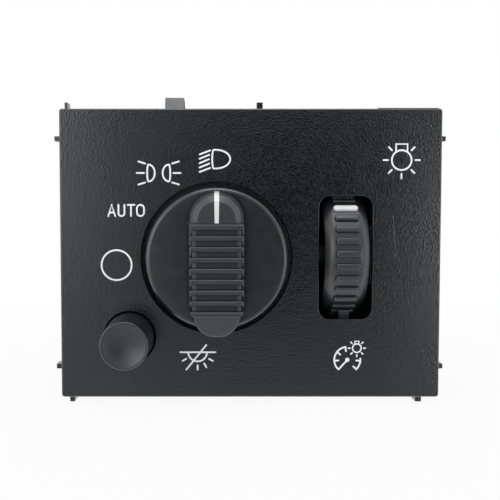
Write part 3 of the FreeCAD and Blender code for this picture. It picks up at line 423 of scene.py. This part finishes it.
def knob_abs(look):
    """ABS with a fine eroded grain: a satin disc, and a grip in front of it that handling has dulled."""
    material = grained_surface("ABS, fine eroded grain", look.plastic, look.grain, look.grain_depth,
                               look.roughness)
    tree, shader = material.node_tree, main_shader(material)
    place = add(tree, "ShaderNodeTexCoord").outputs["Object"]
    depth = add(tree, "ShaderNodeSeparateXYZ", {0: place}).outputs["Y"]
    blend = 0.5 * MM
    extra = add(tree, "ShaderNodeMapRange", {
        "Value": depth, "From Min": GRIP_Y + blend, "From Max": GRIP_Y - blend, "To Min": 0.0,
        "To Max": look.grip_roughness - look.roughness})
    disc = shader.inputs["Roughness"].links[0].from_socket
    connect(shader, Roughness=add(tree, "ShaderNodeMath", {0: disc, 1: extra}, operation="ADD"))
    # Painted shade in the grooves of the grip, where little light comes in.
    shaded_hollows(material, 1.6 * MM)
    return material


def fired_ceramic():
    """Alumina card: chalky and pale, with a fine grit."""
    return grained_surface("Fired alumina", linear("#b9b3a4"), 0.15 * MM, 0.006 * MM, 0.7)


def paint(node, material):
    """Gives a solid its material and leaves its mesh as it is."""
    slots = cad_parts[node].data.materials
    slots.clear()
    slots.append(material)


def new_piece(name, mesh, material=None):
    piece = bpy.data.objects.new(name, mesh)
    bpy.context.scene.collection.objects.link(piece)
    if material is not None:
        mesh.materials.clear()
        mesh.materials.append(material)
    return piece


def baked(piece):
    """Turns a piece with modifiers into a plain mesh, and takes the modifiers off."""
    bpy.context.view_layer.update()
    mesh = bpy.data.meshes.new_from_object(piece.evaluated_get(bpy.context.evaluated_depsgraph_get()))
    piece.modifiers.clear()
    piece.data = mesh
    return piece


def weighted(piece, sharp):
    """Smooth shading that keeps flat faces flat and true corners crisp."""
    large_faces_first = 60
    piece.data.shade_smooth()
    piece.data.set_sharp_from_angle(angle=sharp)
    shading = piece.modifiers.new("Shading", "WEIGHTED_NORMAL")
    shading.keep_sharp = True
    shading.weight = large_faces_first
    return baked(piece)


# A solid's points nearer than MERGE are one point, faces within FLAT of each other are one face, an edge
# that turns by more than SHARP is sharp, and what turns by more than CREASE is shaded as a corner.
MERGE = 0.0005 * MM
FLAT = 0.02 * DEG
SHARP = 35 * DEG
CREASE = 40 * DEG


def softened_copy(node, name, width, material, crease=CREASE, chosen=None):
    """Copy of a solid with its sharp edges broken: all of them, or the outer ones that are chosen by
    their middle."""
    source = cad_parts[node].data
    mesh = bpy.data.meshes.new(name)
    mesh.from_pydata([v.co.copy() for v in source.vertices], [], [tuple(p.vertices) for p in source.polygons])
    form = bmesh.new()
    form.from_mesh(mesh)
    bmesh.ops.remove_doubles(form, verts=form.verts, dist=MERGE)
    bmesh.ops.dissolve_limit(form, angle_limit=FLAT, verts=form.verts, edges=form.edges)
    sharp = [e for e in form.edges if len(e.link_faces) == 2 and e.calc_face_angle(0) > SHARP]
    if chosen is not None:
        sharp = [e for e in sharp if e.is_convex and chosen((e.verts[0].co + e.verts[1].co) / 2)]
    bmesh.ops.bevel(form, geom=sharp, offset=width, offset_type="OFFSET", segments=3, profile=0.5,
                    affect="EDGES", clamp_overlap=False)
    form.to_mesh(mesh)
    form.free()
    return weighted(new_piece(name, mesh, material), crease)


def ride(piece, body, slot, *nodes):
    """Hangs a finished piece on its body and hides the solids that it stands for. The name of its finish is
    not used.
    """
    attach(piece, body)
    if nodes:
        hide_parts(*nodes)


def new_tree(name, sockets):
    """Geometry tree with named inputs. Returns the tree and its input node."""
    tree = bpy.data.node_groups.new(name, "GeometryNodeTree")
    tree.is_modifier = True
    tree.interface.new_socket("Geometry", in_out="OUTPUT", socket_type="NodeSocketGeometry")
    for label, kind, *subtype in sockets:
        socket = tree.interface.new_socket(label, in_out="INPUT", socket_type="NodeSocket" + kind)
        if subtype:
            socket.subtype = subtype[0]
    return tree, tree.nodes.new("NodeGroupInput")


def finish_tree(tree, geometry, material):
    """Ends a tree in real geometry with its material."""
    real = add(tree, "GeometryNodeRealizeInstances", {"Geometry": geometry})
    smooth = add(tree, "GeometryNodeSetShadeSmooth", {"Geometry": real})
    dressed = add(tree, "GeometryNodeSetMaterial", {"Geometry": smooth, "Material": material})
    add(tree, "NodeGroupOutput", {"Geometry": dressed})


def copies_around(tree, geometry, count, values, axis):
    """Nodes that set copies of a shape round an axis through the tree's origin, one step apart."""
    index = add(tree, "GeometryNodeInputIndex")
    angle = add(tree, "ShaderNodeMath", {0: index, 1: values["Step"], 2: values["First"]},
                operation="MULTIPLY_ADD")
    turn = add(tree, "FunctionNodeAxisAngleToRotation", {"Axis": axis, "Angle": angle})
    kept = add(tree, "FunctionNodeCompare", {2: index, 3: values["Left out"]}, data_type="INT",
               operation="NOT_EQUAL")
    points = add(tree, "GeometryNodePoints", {"Count": count})
    return add(tree, "GeometryNodeInstanceOnPoints", {
        "Points": points, "Selection": kept, "Instance": geometry, "Rotation": turn})


def ribs_tree():
    """Sets one rib round the wheel's axle, and leaves out the place of the white marker."""
    tree, given = new_tree("Ribs round an axle", [
        ("Geometry", "Geometry"), ("Axle", "Vector"), ("Count", "Int"), ("First", "Float", "ANGLE"),
        ("Step", "Float", "ANGLE"), ("Left out", "Int"), ("Material", "Material")])
    values = given.outputs
    back = add(tree, "ShaderNodeVectorMath", {0: values["Axle"], "Scale": -1.0}, operation="SCALE")
    centred = add(tree, "GeometryNodeTransform", {"Geometry": values["Geometry"], "Translation": back})
    ring = copies_around(tree, centred, values["Count"], values, (1, 0, 0))
    placed = add(tree, "GeometryNodeTransform", {"Geometry": ring, "Translation": values["Axle"]})
    finish_tree(tree, placed, values["Material"])
    return tree


def symbol_tree():
    """Turns drawn lines and a fan of rays into flat printed strokes with round ends and joints."""
    tree, given = new_tree("Printed symbol", [
        ("Geometry", "Geometry"), ("Centre", "Vector"), ("Rays", "Int"), ("First", "Float", "ANGLE"),
        ("Step", "Float", "ANGLE"), ("Left out", "Int"), ("Inner", "Float", "DISTANCE"),
        ("Outer", "Float", "DISTANCE"), ("Stroke", "Float", "DISTANCE"), ("Thickness", "Float", "DISTANCE"),
        ("Face", "Float", "DISTANCE"), ("Material", "Material")])
    values = given.outputs
    around = 12
    start = add(tree, "ShaderNodeCombineXYZ", {"X": values["Inner"]})
    end = add(tree, "ShaderNodeCombineXYZ", {"X": values["Outer"]})
    ray = add(tree, "GeometryNodeMeshLine", {"Count": 2, "Start Location": start, "Offset": end},
              mode="END_POINTS")
    rays = copies_around(tree, ray, values["Rays"], values, (0, -1, 0))
    fan = add(tree, "GeometryNodeRealizeInstances", {"Geometry": rays})
    lines = add(tree, "GeometryNodeJoinGeometry", {"Geometry": [fan, values["Geometry"]]})
    half = add(tree, "ShaderNodeMath", {0: values["Stroke"], 1: 0.5}, operation="MULTIPLY")
    section = add(tree, "GeometryNodeCurvePrimitiveCircle", {"Resolution": around, "Radius": half})
    curve = add(tree, "GeometryNodeMeshToCurve", {"Mesh": lines})
    tubes = add(tree, "GeometryNodeCurveToMesh", {"Curve": curve, "Profile Curve": section})
    ball = add(tree, "GeometryNodeMeshUVSphere", {"Segments": around, "Rings": around // 2, "Radius": half})
    ends = add(tree, "GeometryNodeInstanceOnPoints", {"Points": lines, "Instance": ball})
    strokes = add(tree, "GeometryNodeJoinGeometry", {"Geometry": [ends, tubes]})
    squeeze = add(tree, "ShaderNodeMath", {0: values["Thickness"], 1: half}, operation="DIVIDE")
    flat = add(tree, "ShaderNodeCombineXYZ", {"X": 1.0, "Y": squeeze, "Z": 1.0})
    face = add(tree, "ShaderNodeCombineXYZ", {"Y": values["Face"]})
    place = add(tree, "ShaderNodeVectorMath", {0: values["Centre"], 1: face}, operation="ADD")
    pressed = add(tree, "GeometryNodeTransform", {"Geometry": strokes, "Scale": flat, "Translation": place})
    finish_tree(tree, pressed, values["Material"])
    return tree


def run_tree(piece, tree, **values):
    """Runs a geometry tree on a piece with its inputs set by name, and keeps the plain mesh."""
    modifier = piece.modifiers.new(tree.name, "NODES")
    modifier.node_group = tree
    for item in tree.interface.items_tree:
        key = item.name.replace(" ", "_").lower()
        if item.in_out == "INPUT" and key in values:
            modifier[item.identifier] = values[key]
    return baked(piece)


def line_mesh(name, lines):
    """Mesh of bare edges from lines of points in millimetres, across and up, about the symbol's centre."""
    mesh = bpy.data.meshes.new(name)
    points, edges = [], []
    for line in lines:
        closed = line[0] == line[-1]
        start = len(points)
        points += [(across * MM, 0, up * MM) for across, up in (line[:-1] if closed else line)]
        count = len(points) - start
        edges += [(start + i, start + i + 1) for i in range(count - 1)]
        if closed:
            edges.append((start + count - 1, start))
    mesh.from_pydata(points, edges, [])
    return mesh


def bow(across, up, half_width, half_height, first, last, steps=24):
    """Points on part of an ellipse, its angles counted anticlockwise from the right."""
    points = []
    for i in range(steps + 1):
        angle = (first + (last - first) * i / steps) * DEG
        points.append((across + half_width * math.cos(angle), up + half_height * math.sin(angle)))
    return points


def circle(across, up, radius, steps=40):
    points = bow(across, up, radius, radius, 0, 360, steps)
    return points[:-1] + [points[0]]


def mirrored(lines):
    """The same lines and their mirror image, left for right."""
    return lines + [[(-across, up) for across, up in line] for line in lines]


def auto_word():
    """The four letters of the automatic setting in plain strokes."""
    top, foot, bar, stem, ring, steps = 1.49, -1.49, -0.55, 1.32, 0.95, 12
    letter_a = [[(-4.74, foot), (-3.84, top), (-2.9, foot)], [(-4.4, bar), (-3.26, bar)]]
    bowl = bow(-1.22, foot + 0.75, 0.8, 0.75, 180, 360, steps)
    letter_u = [[(-2.02, top)] + bowl + [(-0.42, top)]]
    letter_t = [[(0.47, top), (2.27, top)], [(stem, top), (stem, foot)]]
    crown = bow(3.86, top - ring, ring, ring, 0, 180, steps)
    base = bow(3.86, foot + ring, ring, ring, 180, 360, steps)
    letter_o = [crown + base + [crown[0]]]
    return letter_a + letter_u + letter_t + letter_o


def parking_symbol():
    """Two side lamps back to back with three rays each."""
    corner, height, belly = 2.72, 2.24, 1.05
    lens = bow(-corner, 0, corner - belly, height, 90, -90, 16)
    back = bow(-corner, 0, 0.36, height, 270, 90, 10)
    rays = [[(-3.9, 0), (-5.85, 0)]]
    for side in (-1, 1):
        rays.append([(-3.6, side * 2.52), (-5.4, side * 3.06)])
    return mirrored([lens + back[1:-1] + [lens[0]]] + rays)


def headlamp_symbol():
    """Head lamp with five dipped rays, the outer ones longer."""
    height, corner = 2.48, 1.5
    lens = bow(corner + 0.55, 0, 3.85, height, 90, -90, 20)
    back = bow(corner, 0, 0.4, height, 270, 90, 10)
    outline = [(corner, height)] + lens + back[:-1] + [(corner, height)]
    rays = []
    for i in range(-2, 3):
        foot = -1.06 - i * 1.16
        rays.append([(-2.25, foot), (0.22 + 0.08 * i * i, foot + 1.04)])
    return [outline] + rays


def lamp_symbol(radius, cap_width, cap_top, inner, outer):
    """Lamp seen from the side: the round bulb, its cap, and rays all round but for the cap's place."""
    side = cap_width / 2
    foot = math.sqrt(radius ** 2 - side ** 2)
    cap = [(-side, foot), (-side, cap_top), (side, cap_top), (side, foot)]
    rays = {"rays": 8, "step": 45 * DEG, "left_out": 2, "inner": inner * MM, "outer": outer * MM}
    return [circle(0, 0, radius), cap], rays


def dome_off_symbol():
    """Roof lamp below a bar, with four rays and the stroke that crosses it out."""
    lines = [[(-4.66, 0), (4.8, 0)], bow(0, 0, 2.52, 2.48, 180, 360), [(-3.05, -4.74), (2.34, 1.97)]]
    rays = {"rays": 5, "step": -30 * DEG, "first": -30 * DEG, "left_out": 3, "inner": 3.56 * MM,
            "outer": 4.7 * MM}
    return lines, rays


def dimmer_symbol():
    """Gauge with its needle at the lowest mark."""
    radius, tick, lowest, marks = 3.52, 1.1, 228, (99, 143, 184, -4, -47)
    lines = [bow(0, 0, radius, radius, 98, lowest), bow(0, 0, radius, radius, 5, -47, 12)]
    for angle in marks:
        way = (math.cos(angle * DEG), math.sin(angle * DEG))
        lines.append([tuple(radius * w for w in way), tuple((radius - tick) * w for w in way)])
    lines.append([(radius * math.cos(lowest * DEG), radius * math.sin(lowest * DEG)), (0, 0)])
    return lines + [circle(0, 0, 0.2, 10), circle(0, 0, 0.36, 14)]


# Each symbol's middle, in millimetres across and up from the plate's middle, its lines and its rays
SYMBOLS = {
    "off_ring": ((-35.88, -2.94), [circle(0, 0, 4.03)], {}),
    "auto_word": ((-33.27, 11.7), auto_word(), {}),
    "parking_lamp_symbol": ((-24.5, 21.67), parking_symbol(), {}),
    "headlamp_symbol": ((-11.35, 25.34), headlamp_symbol(), {}),
    "interior_lamp_symbol": ((40.19, 25.09), *lamp_symbol(2.63, 3.04, 4.25, 3.66, 4.86)),
    "dome_off_symbol": ((-14.2, -26.5), *dome_off_symbol()),
    "dimmer_gauge_symbol": ((26.19, -28.57), dimmer_symbol(), {}),
    "dimmer_lamp_symbol": ((28.73, -25.39), *lamp_symbol(1.16, 1.04, 1.9, 1.78, 2.3)),
}


def closed_mesh(name, form):
    """Mesh of a closed form, its faces turned outwards."""
    bmesh.ops.recalc_face_normals(form, faces=form.faces)
    mesh = bpy.data.meshes.new(name)
    form.to_mesh(mesh)
    form.free()
    return mesh


def rib_mesh(name, look):
    """One rib at the front of the wheel: a pill whose upper edge is rounded, its foot inside the tread."""
    around, steps, sunk = 20, 5, 0.4 * MM
    half_length, half_width = look.rib_length / 2, look.rib_width / 2
    tip, rounding = WHEEL_TIP_RADIUS, look.rib_round
    levels = [(tip - look.rib_height - sunk, 0.0), (tip - rounding, 0.0)]
    for i in range(1, steps + 1):
        angle = i / steps * 90 * DEG
        levels.append((tip - rounding + rounding * math.sin(angle), rounding * (1 - math.cos(angle))))
    form = bmesh.new()
    rings = []
    for radius, inset in levels:
        ring = []
        for i in range(around):
            angle = (i + 0.5) / around * 360 * DEG
            side = 1 if math.cos(angle) > 0 else -1
            across = side * (half_length - half_width) + (half_width - inset) * math.cos(angle)
            along = (half_width - inset) * math.sin(angle)
            drop = math.sqrt(radius ** 2 - along ** 2)
            ring.append(form.verts.new(WHEEL_AXLE + Vector((across, -drop, along))))
        rings.append(ring)
    for low, high in zip(rings, rings[1:]):
        for i in range(around):
            form.faces.new((low[i], low[(i + 1) % around], high[(i + 1) % around], high[i]))
    form.faces.new(rings[-1])
    form.faces.new(list(reversed(rings[0])))
    return closed_mesh(name, form)


def lathe_mesh(name, profile, centre, steps):
    """Closed mesh of a closed profile of (along X, radius), turned about X through the centre."""
    seam = 0.001 * MM
    form = bmesh.new()
    verts = [form.verts.new(centre + Vector((along, -radius, 0))) for along, radius in profile]
    edges = [form.edges.new((verts[i], verts[(i + 1) % len(verts)])) for i in range(len(verts))]
    bmesh.ops.spin(form, geom=verts + edges, cent=centre, axis=(1, 0, 0), dvec=(0, 0, 0),
                   angle=2 * math.pi, steps=steps, use_duplicate=False)
    bmesh.ops.remove_doubles(form, verts=form.verts, dist=seam)
    return closed_mesh(name, form)


class HEADLIGHT_SWITCH_OT_plate(bpy.types.Operator):
    """Break the edges of the front plate and give it its grain"""
    bl_idname = "headlight_switch.plate"
    bl_label = "Front plate"

    def execute(self, context):
        look = context.scene.headlight_switch.plate
        # ABS from a spark-eroded mould looks nearly black and satin, with a grain that catches the light.
        plastic = grained_surface("ABS from a spark-eroded mould", look.plastic, look.grain,
                                  look.grain_depth, look.roughness)
        scratched(plastic, look.scratch, look.scratch_width)
        near_face = FACE_Y + 1 * MM
        plate = softened_copy("faceplate", "front_plate", look.edge, plastic,
                              chosen=lambda place: place.y < near_face)
        ride(plate, "case", "plate_plastic", "faceplate")
        return {"FINISHED"}


class HEADLIGHT_SWITCH_OT_legends(bpy.types.Operator):
    """Print the standard symbols beside the controls"""
    bl_idname = "headlight_switch.legends"
    bl_label = "Printed symbols"

    def execute(self, context):
        look = context.scene.headlight_switch.legends
        ink = printed_ink(look.ink)
        tree = symbol_tree()
        for name, ((across, up), lines, rays) in SYMBOLS.items():
            stroke = look.fine_stroke if name == "dimmer_lamp_symbol" else look.stroke
            piece = new_piece(name, line_mesh(name, lines))
            run_tree(piece, tree, centre=(across * MM, 0, up * MM), stroke=stroke, thickness=look.thickness,
                     face=FACE_Y, material=ink, **rays)
            ride(piece, "case", "white_insert")
        return {"FINISHED"}


class HEADLIGHT_SWITCH_OT_knob(bpy.types.Operator):
    """Round the ridges of the rotary knob and finish its white pointer"""
    bl_idname = "headlight_switch.knob"
    bl_label = "Rotary knob"

    def execute(self, context):
        look = context.scene.headlight_switch.knob
        head_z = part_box("knob_pointer")[0].z
        knob = softened_copy("knob", "rotary_knob", look.edge, knob_abs(look), crease=24 * DEG,
                             chosen=lambda place: place.z < head_z and place.y < GRIP_Y)
        ride(knob, "knob", "knob_plastic", "knob")
        # White ABS, moulded as an insert, is milky and half glossy, and stays just below plain white.
        paint("knob_pointer", moulded_plastic("White ABS", look.pointer, look.pointer_roughness))
        return {"FINISHED"}


class HEADLIGHT_SWITCH_OT_button(bpy.types.Operator):
    """Round the edges of the push button"""
    bl_idname = "headlight_switch.button"
    bl_label = "Push button"

    def execute(self, context):
        look = context.scene.headlight_switch.button
        # ABS from a satin mould has a soft gloss without grain. In the button's well its gloss is taken away
        # as painted shade.
        plastic = moulded_plastic("ABS from a satin mould", look.plastic, look.roughness)
        shaded_hollows(plastic, 7 * MM, low=0.0, own=False)
        cap = softened_copy("button_cap", "push_button", look.edge, plastic)
        ride(cap, "button", "button_plastic", "button_cap")
        return {"FINISHED"}


def wheel_profile(look, hub_left, hub_right, axle_radius):
    """Section of the wheel beside its axle: crowned tread, thin web and hub."""
    flat, half, web = look.crown / 2, look.width / 2, look.web / 2
    tread = WHEEL_TIP_RADIUS - look.rib_height
    inner = tread - look.rim
    web_top = inner - look.rim / 3
    steps = 8
    right_side = []
    for i in range(1, steps + 1):
        part = i / steps
        right_side.append((flat + (half - flat) * part, tread - look.shoulder_drop * part ** 2))
    left_side = [(-along, radius) for along, radius in reversed(right_side)]
    right_side += [(half, inner), (web, web_top), (web, look.hub), (hub_right, look.hub),
                   (hub_right, axle_radius)]
    left_side = [(hub_left, axle_radius), (hub_left, look.hub), (-web, look.hub), (-web, web_top),
                 (-half, inner)] + left_side
    return [(-flat, tread), (flat, tread)] + right_side + left_side


class HEADLIGHT_SWITCH_OT_thumbwheel(bpy.types.Operator):
    """Turn the crowned thumbwheel and set its rounded ribs and white marker round it"""
    bl_idname = "headlight_switch.thumbwheel"
    bl_label = "Dimmer thumbwheel"

    def execute(self, context):
        look = context.scene.headlight_switch.wheel
        # Moulded acetal has a waxy, even sheen. Its white marker is a little brighter than the pointer.
        plastic = moulded_plastic("Moulded acetal", look.plastic, look.roughness, ior=1.48)
        # Painted shade round the feet of the ribs.
        shaded_hollows(plastic, 0.6 * MM)
        white = moulded_plastic("White moulded acetal", look.marker, look.marker_roughness, ior=1.48)

        wheel_low, wheel_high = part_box("dimmer_wheel")
        axle_low, axle_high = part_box("dimmer_axle")
        profile = wheel_profile(look, wheel_low.x - WHEEL_AXLE.x, wheel_high.x - WHEEL_AXLE.x,
                                (axle_high.z - axle_low.z) / 2)
        rim = new_piece("thumbwheel", lathe_mesh("thumbwheel", profile, WHEEL_AXLE, steps=120), plastic)
        ride(weighted(rim, CREASE), "thumbwheel", "wheel_plastic", "dimmer_wheel")

        step = 2 * math.pi / look.ribs
        marker = middle("dimmer_marker") - WHEEL_AXLE
        place = round(math.atan2(marker.z, -marker.y) / step + look.phase)
        tree = ribs_tree()
        ribs = new_piece("thumbwheel_ribs", rib_mesh("rib", look))
        run_tree(ribs, tree, axle=WHEEL_AXLE, count=look.ribs, first=look.phase * step, step=-step,
                 left_out=place, material=plastic)
        ride(ribs, "thumbwheel", "wheel_plastic")
        mark = new_piece("white_marker", rib_mesh("white_rib", look))
        run_tree(mark, tree, axle=WHEEL_AXLE, count=1, first=(look.phase - place) * step, step=0.0,
                 left_out=-1, material=white)
        ride(mark, "thumbwheel", "white_insert", "dimmer_marker")
        return {"FINISHED"}


class HEADLIGHT_SWITCH_OT_case(bpy.types.Operator):
    """Give the rear case its moulded finish and the clip its plated one"""
    bl_idname = "headlight_switch.case"
    bl_label = "Rear case and clip"

    def execute(self, context):
        look = context.scene.headlight_switch.case
        # Glass-filled nylon is duller than the plate, because the fibres roughen its skin.
        plastic = moulded_plastic("Moulded glass-filled nylon", look.plastic, look.roughness, ior=1.53)
        case = softened_copy("rear_housing", "rear_case", look.edge, plastic)
        ride(case, "case", "case_plastic", "rear_housing")
        # Zinc plate on spring steel is dark grey and hardly mirrors anything.
        paint("retaining_clip", drawn_metal("Spring steel, zinc plated", look.clip, look.clip_roughness))
        return {"FINISHED"}


class HEADLIGHT_SWITCH_OT_works(bpy.types.Operator):
    """Give the parts inside the case their finishes"""
    bl_idname = "headlight_switch.works"
    bl_label = "Parts inside"

    def execute(self, context):
        finishes = self.finishes()
        for node, material in finishes.items():
            paint(node, material)
        self.return_spring(finishes["button_spring"], context.scene.headlight_switch.button.travel)
        return {"FINISHED"}

    def return_spring(self, wire, travel):
        """Copy of the button's spring, hung on the case with a mesh of its own. The travel is not used."""
        coil = softened_copy("button_spring", "return_spring", 0, wire, chosen=lambda place: False)
        ride(coil, "case", "spring_wire", "button_spring")
        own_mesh(coil)

    def finishes(self):
        """Finish of each solid inside the case."""
        board = solder_mask_board()
        # Natural nylon is ivory and slightly waxy. Black polyester is even and half matt.
        nylon = moulded_plastic("Natural moulded nylon", linear("#d3cfc0"), 0.45, ior=1.53)
        black = moulded_plastic("Black moulded polyester", linear("#1c1d1f"), 0.42, ior=1.57)
        # The steels are pale grey, from the screws' satin zinc to the ball's mirror.
        wire = drawn_metal("Drawn spring wire", linear("#a5a6a8"), 0.32)
        screw = drawn_metal("Cold-headed steel, zinc plated", linear("#b4b6b8"), 0.3)
        ball = drawn_metal("Polished bearing steel", linear("#c9cacc"), 0.14)
        # Bronze is a warm brown, and tin a whitish grey that has lost its brightness.
        bronze = drawn_metal("Rolled phosphor bronze", linear("#c08a5a"), 0.3)
        tin = drawn_metal("Copper blade, tin plated", linear("#c6c6c2"), 0.28)
        # Acrylic carries light with a slight haze, and the lamps' glass is clear.
        acrylic = clear_moulding("Moulded clear acrylic", linear("#f2f5f5"), 0.06, 1.49)
        glass = clear_moulding("Drawn lamp glass", linear("#f6f8f8"), 0.02, 1.52)
        finishes = {
            "light_guide": acrylic, "circuit_board": board, "connector_header": black,
            "push_switch_body": black, "button_spring": wire, "detent_ball": ball, "detent_spring": wire,
            "dimmer_resistor_card": fired_ceramic(), "dimmer_detent_spring": black,
            "left_lamp_socket": black, "right_lamp_socket": black, "left_lamp_bulb": glass,
            "right_lamp_bulb": glass, "rotor": nylon, "rotor_wiper": bronze, "rotor_retaining_ring": screw,
            "switch_plunger": nylon, "dimmer_axle": screw, "dimmer_wiper": bronze}
        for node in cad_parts:
            for start, material in (("board_screw", screw), ("terminal", tin)):
                if node.startswith(start):
                    finishes[node] = material
        return finishes


def white_backdrop(world, look):
    """World light. Straight views, gloss and glass see white behind the switch, and gloss sees the dim
    room behind the camera. The rest of the light is plain."""
    world.use_nodes = True
    tree = world.node_tree
    tree.nodes.clear()
    path = add(tree, "ShaderNodeLightPath").outputs
    way = add(tree, "ShaderNodeTexCoord").outputs["Generated"]
    # How far a direction lies towards the darkest part of the room: 1 is straight there
    darkest = (math.sin(look.room_turn), -math.cos(look.room_turn), 0.0)
    ahead = add(tree, "ShaderNodeVectorMath", {0: way, 1: darkest}, operation="DOT_PRODUCT").outputs["Value"]
    room = add(tree, "ShaderNodeMapRange", {
        "Value": ahead, "From Min": math.cos(look.room_end), "From Max": math.cos(look.room_start),
        "To Min": 1.0, "To Max": look.room_level}, interpolation_type="SMOOTHSTEP")
    in_line = add(tree, "ShaderNodeMath", {0: ahead}, operation="ABSOLUTE")
    tent = add(tree, "ShaderNodeMapRange", {
        "Value": in_line, "From Min": math.cos(look.tent_end), "From Max": math.cos(look.tent_start),
        "To Min": look.tent, "To Max": 1.0}, interpolation_type="SMOOTHSTEP")
    mirrored_light = add(tree, "ShaderNodeMath", {0: room, 1: tent}, operation="MULTIPLY")
    seen = add(tree, "ShaderNodeMath", {0: path["Is Camera Ray"], 1: path["Is Transmission Ray"]},
               operation="MAXIMUM")
    plain = add(tree, "ShaderNodeMix", {
        "Factor": path["Is Glossy Ray"], "A": look.fill, "B": mirrored_light}, data_type="FLOAT")
    strength = add(tree, "ShaderNodeMix", {"Factor": seen, "A": plain, "B": 1.0}, data_type="FLOAT")
    light = add(tree, "ShaderNodeBackground", {"Color": (1, 1, 1, 1), "Strength": strength})
    add(tree, "ShaderNodeOutputWorld", {"Surface": light})


def pale_floor(look):
    """Matt white paper that keeps a faint shadow and runs into the white backdrop. Gloss on the switch
    sees the room in its place."""
    material, tree, shader, place = new_material("Matt white paper", look.floor, 0.9, IOR=1.5)
    connect(shader, Base_Color=tinted(tree, place, look.floor, 60 * MM, 0.99, 1.01))
    path = add(tree, "ShaderNodeLightPath").outputs
    away = add(tree, "ShaderNodeVectorMath", {0: place}, operation="LENGTH").outputs["Value"]
    white_share = add(tree, "ShaderNodeMapRange", {
        "Value": away, "From Min": look.floor_near, "From Max": look.floor_far,
        "To Min": look.floor_white, "To Max": 1.0}, interpolation_type="SMOOTHSTEP")
    seen_share = add(tree, "ShaderNodeMath", {0: path["Is Camera Ray"], 1: white_share}, operation="MULTIPLY")
    white = add(tree, "ShaderNodeEmission", {"Color": (1, 1, 1, 1), "Strength": 1.0})
    seen = add(tree, "ShaderNodeMixShader", {0: seen_share, 1: shader, 2: white})
    through = add(tree, "ShaderNodeBsdfTransparent")
    sheet = add(tree, "ShaderNodeMixShader", {0: path["Is Glossy Ray"], 1: seen, 2: through})
    join(tree.nodes["Material Output"].inputs["Surface"], sheet)
    return material


def soft_lamp(name, place, size, watts):
    """Square softbox that faces the middle of the plate."""
    light = bpy.data.lights.new(name, "AREA")
    light.shape = "SQUARE"
    light.size = size
    light.energy = watts
    lamp = bpy.data.objects.new(name, light)
    lamp.location = place
    lamp.rotation_euler = (Vector((0, FACE_Y, 0)) - Vector(place)).to_track_quat("-Z", "Y").to_euler()
    bpy.context.scene.collection.objects.link(lamp)


class HEADLIGHT_SWITCH_OT_stage(bpy.types.Operator):
    """Set up the camera, the soft lamps, the white backdrop and the pale floor"""
    bl_idname = "headlight_switch.stage"
    bl_label = "Stage"

    def execute(self, context):
        scene = context.scene
        look = scene.headlight_switch.stage
        scene.view_settings.view_transform = "Standard"
        self.camera(scene, look)
        for name, (place, size, setting) in SOFTBOXES.items():
            soft_lamp(name, place, size, getattr(look, setting))
        if scene.world is None:
            scene.world = bpy.data.worlds.new("Backdrop")
        white_backdrop(scene.world, look)

        reach = 1.5
        sheet = bpy.data.meshes.new("floor")
        corners = [(-reach, -reach), (reach, -reach), (reach, reach), (-reach, reach)]
        sheet.from_pydata([(x, y, FLOOR_Z) for x, y in corners], [], [(0, 1, 2, 3)])
        new_piece("floor", sheet, pale_floor(look))
        return {"FINISHED"}

    def camera(self, scene, look):
        """Nearly level view from the front, a little above and to the left of the middle."""
        data = bpy.data.cameras.new("Camera")
        data.sensor_width = 36
        data.lens = data.sensor_width * look.distance / look.frame_width
        axis_z = look.camera_z - look.distance * math.tan(look.pitch)
        data.shift_x = (look.aim_x - look.camera_x) / look.frame_width
        data.shift_y = (look.aim_z - axis_z) / look.frame_width
        camera = bpy.data.objects.new("Camera", data)
        camera.location = (look.camera_x, FACE_Y - look.distance, look.camera_z)
        camera.rotation_euler = (math.pi / 2 - look.pitch, 0, 0)
        scene.collection.objects.link(camera)
        scene.camera = camera


STEPS = [HEADLIGHT_SWITCH_OT_stage, HEADLIGHT_SWITCH_OT_plate, HEADLIGHT_SWITCH_OT_legends,
         HEADLIGHT_SWITCH_OT_knob, HEADLIGHT_SWITCH_OT_button, HEADLIGHT_SWITCH_OT_thumbwheel,
         HEADLIGHT_SWITCH_OT_case, HEADLIGHT_SWITCH_OT_works]


class HEADLIGHT_SWITCH_PT_steps(bpy.types.Panel):
    """Lists the steps that dress the switch"""
    bl_idname = "HEADLIGHT_SWITCH_PT_steps"
    bl_label = "Headlight Switch"
    bl_space_type = "VIEW_3D"
    bl_region_type = "UI"
    bl_category = "Switch"

    def draw(self, context):
        for step in STEPS:
            self.layout.operator(step.bl_idname)


CLASSES = [SwitchPlateSettings, SwitchLegendSettings, SwitchKnobSettings, SwitchButtonSettings,
           SwitchWheelSettings, SwitchCaseSettings, SwitchStageSettings, SwitchSettings,
           *STEPS, HEADLIGHT_SWITCH_PT_steps]


def register():
    for item in CLASSES:
        bpy.utils.register_class(item)
    bpy.types.Scene.headlight_switch = PointerProperty(type=SwitchSettings)


def unregister():
    del bpy.types.Scene.headlight_switch
    for item in reversed(CLASSES):
        bpy.utils.unregister_class(item)


def main():
    register()
    for step in STEPS:
        area, name = step.bl_idname.split(".")
        getattr(getattr(bpy.ops, area), name)()


if __name__ == "__main__":
    main()
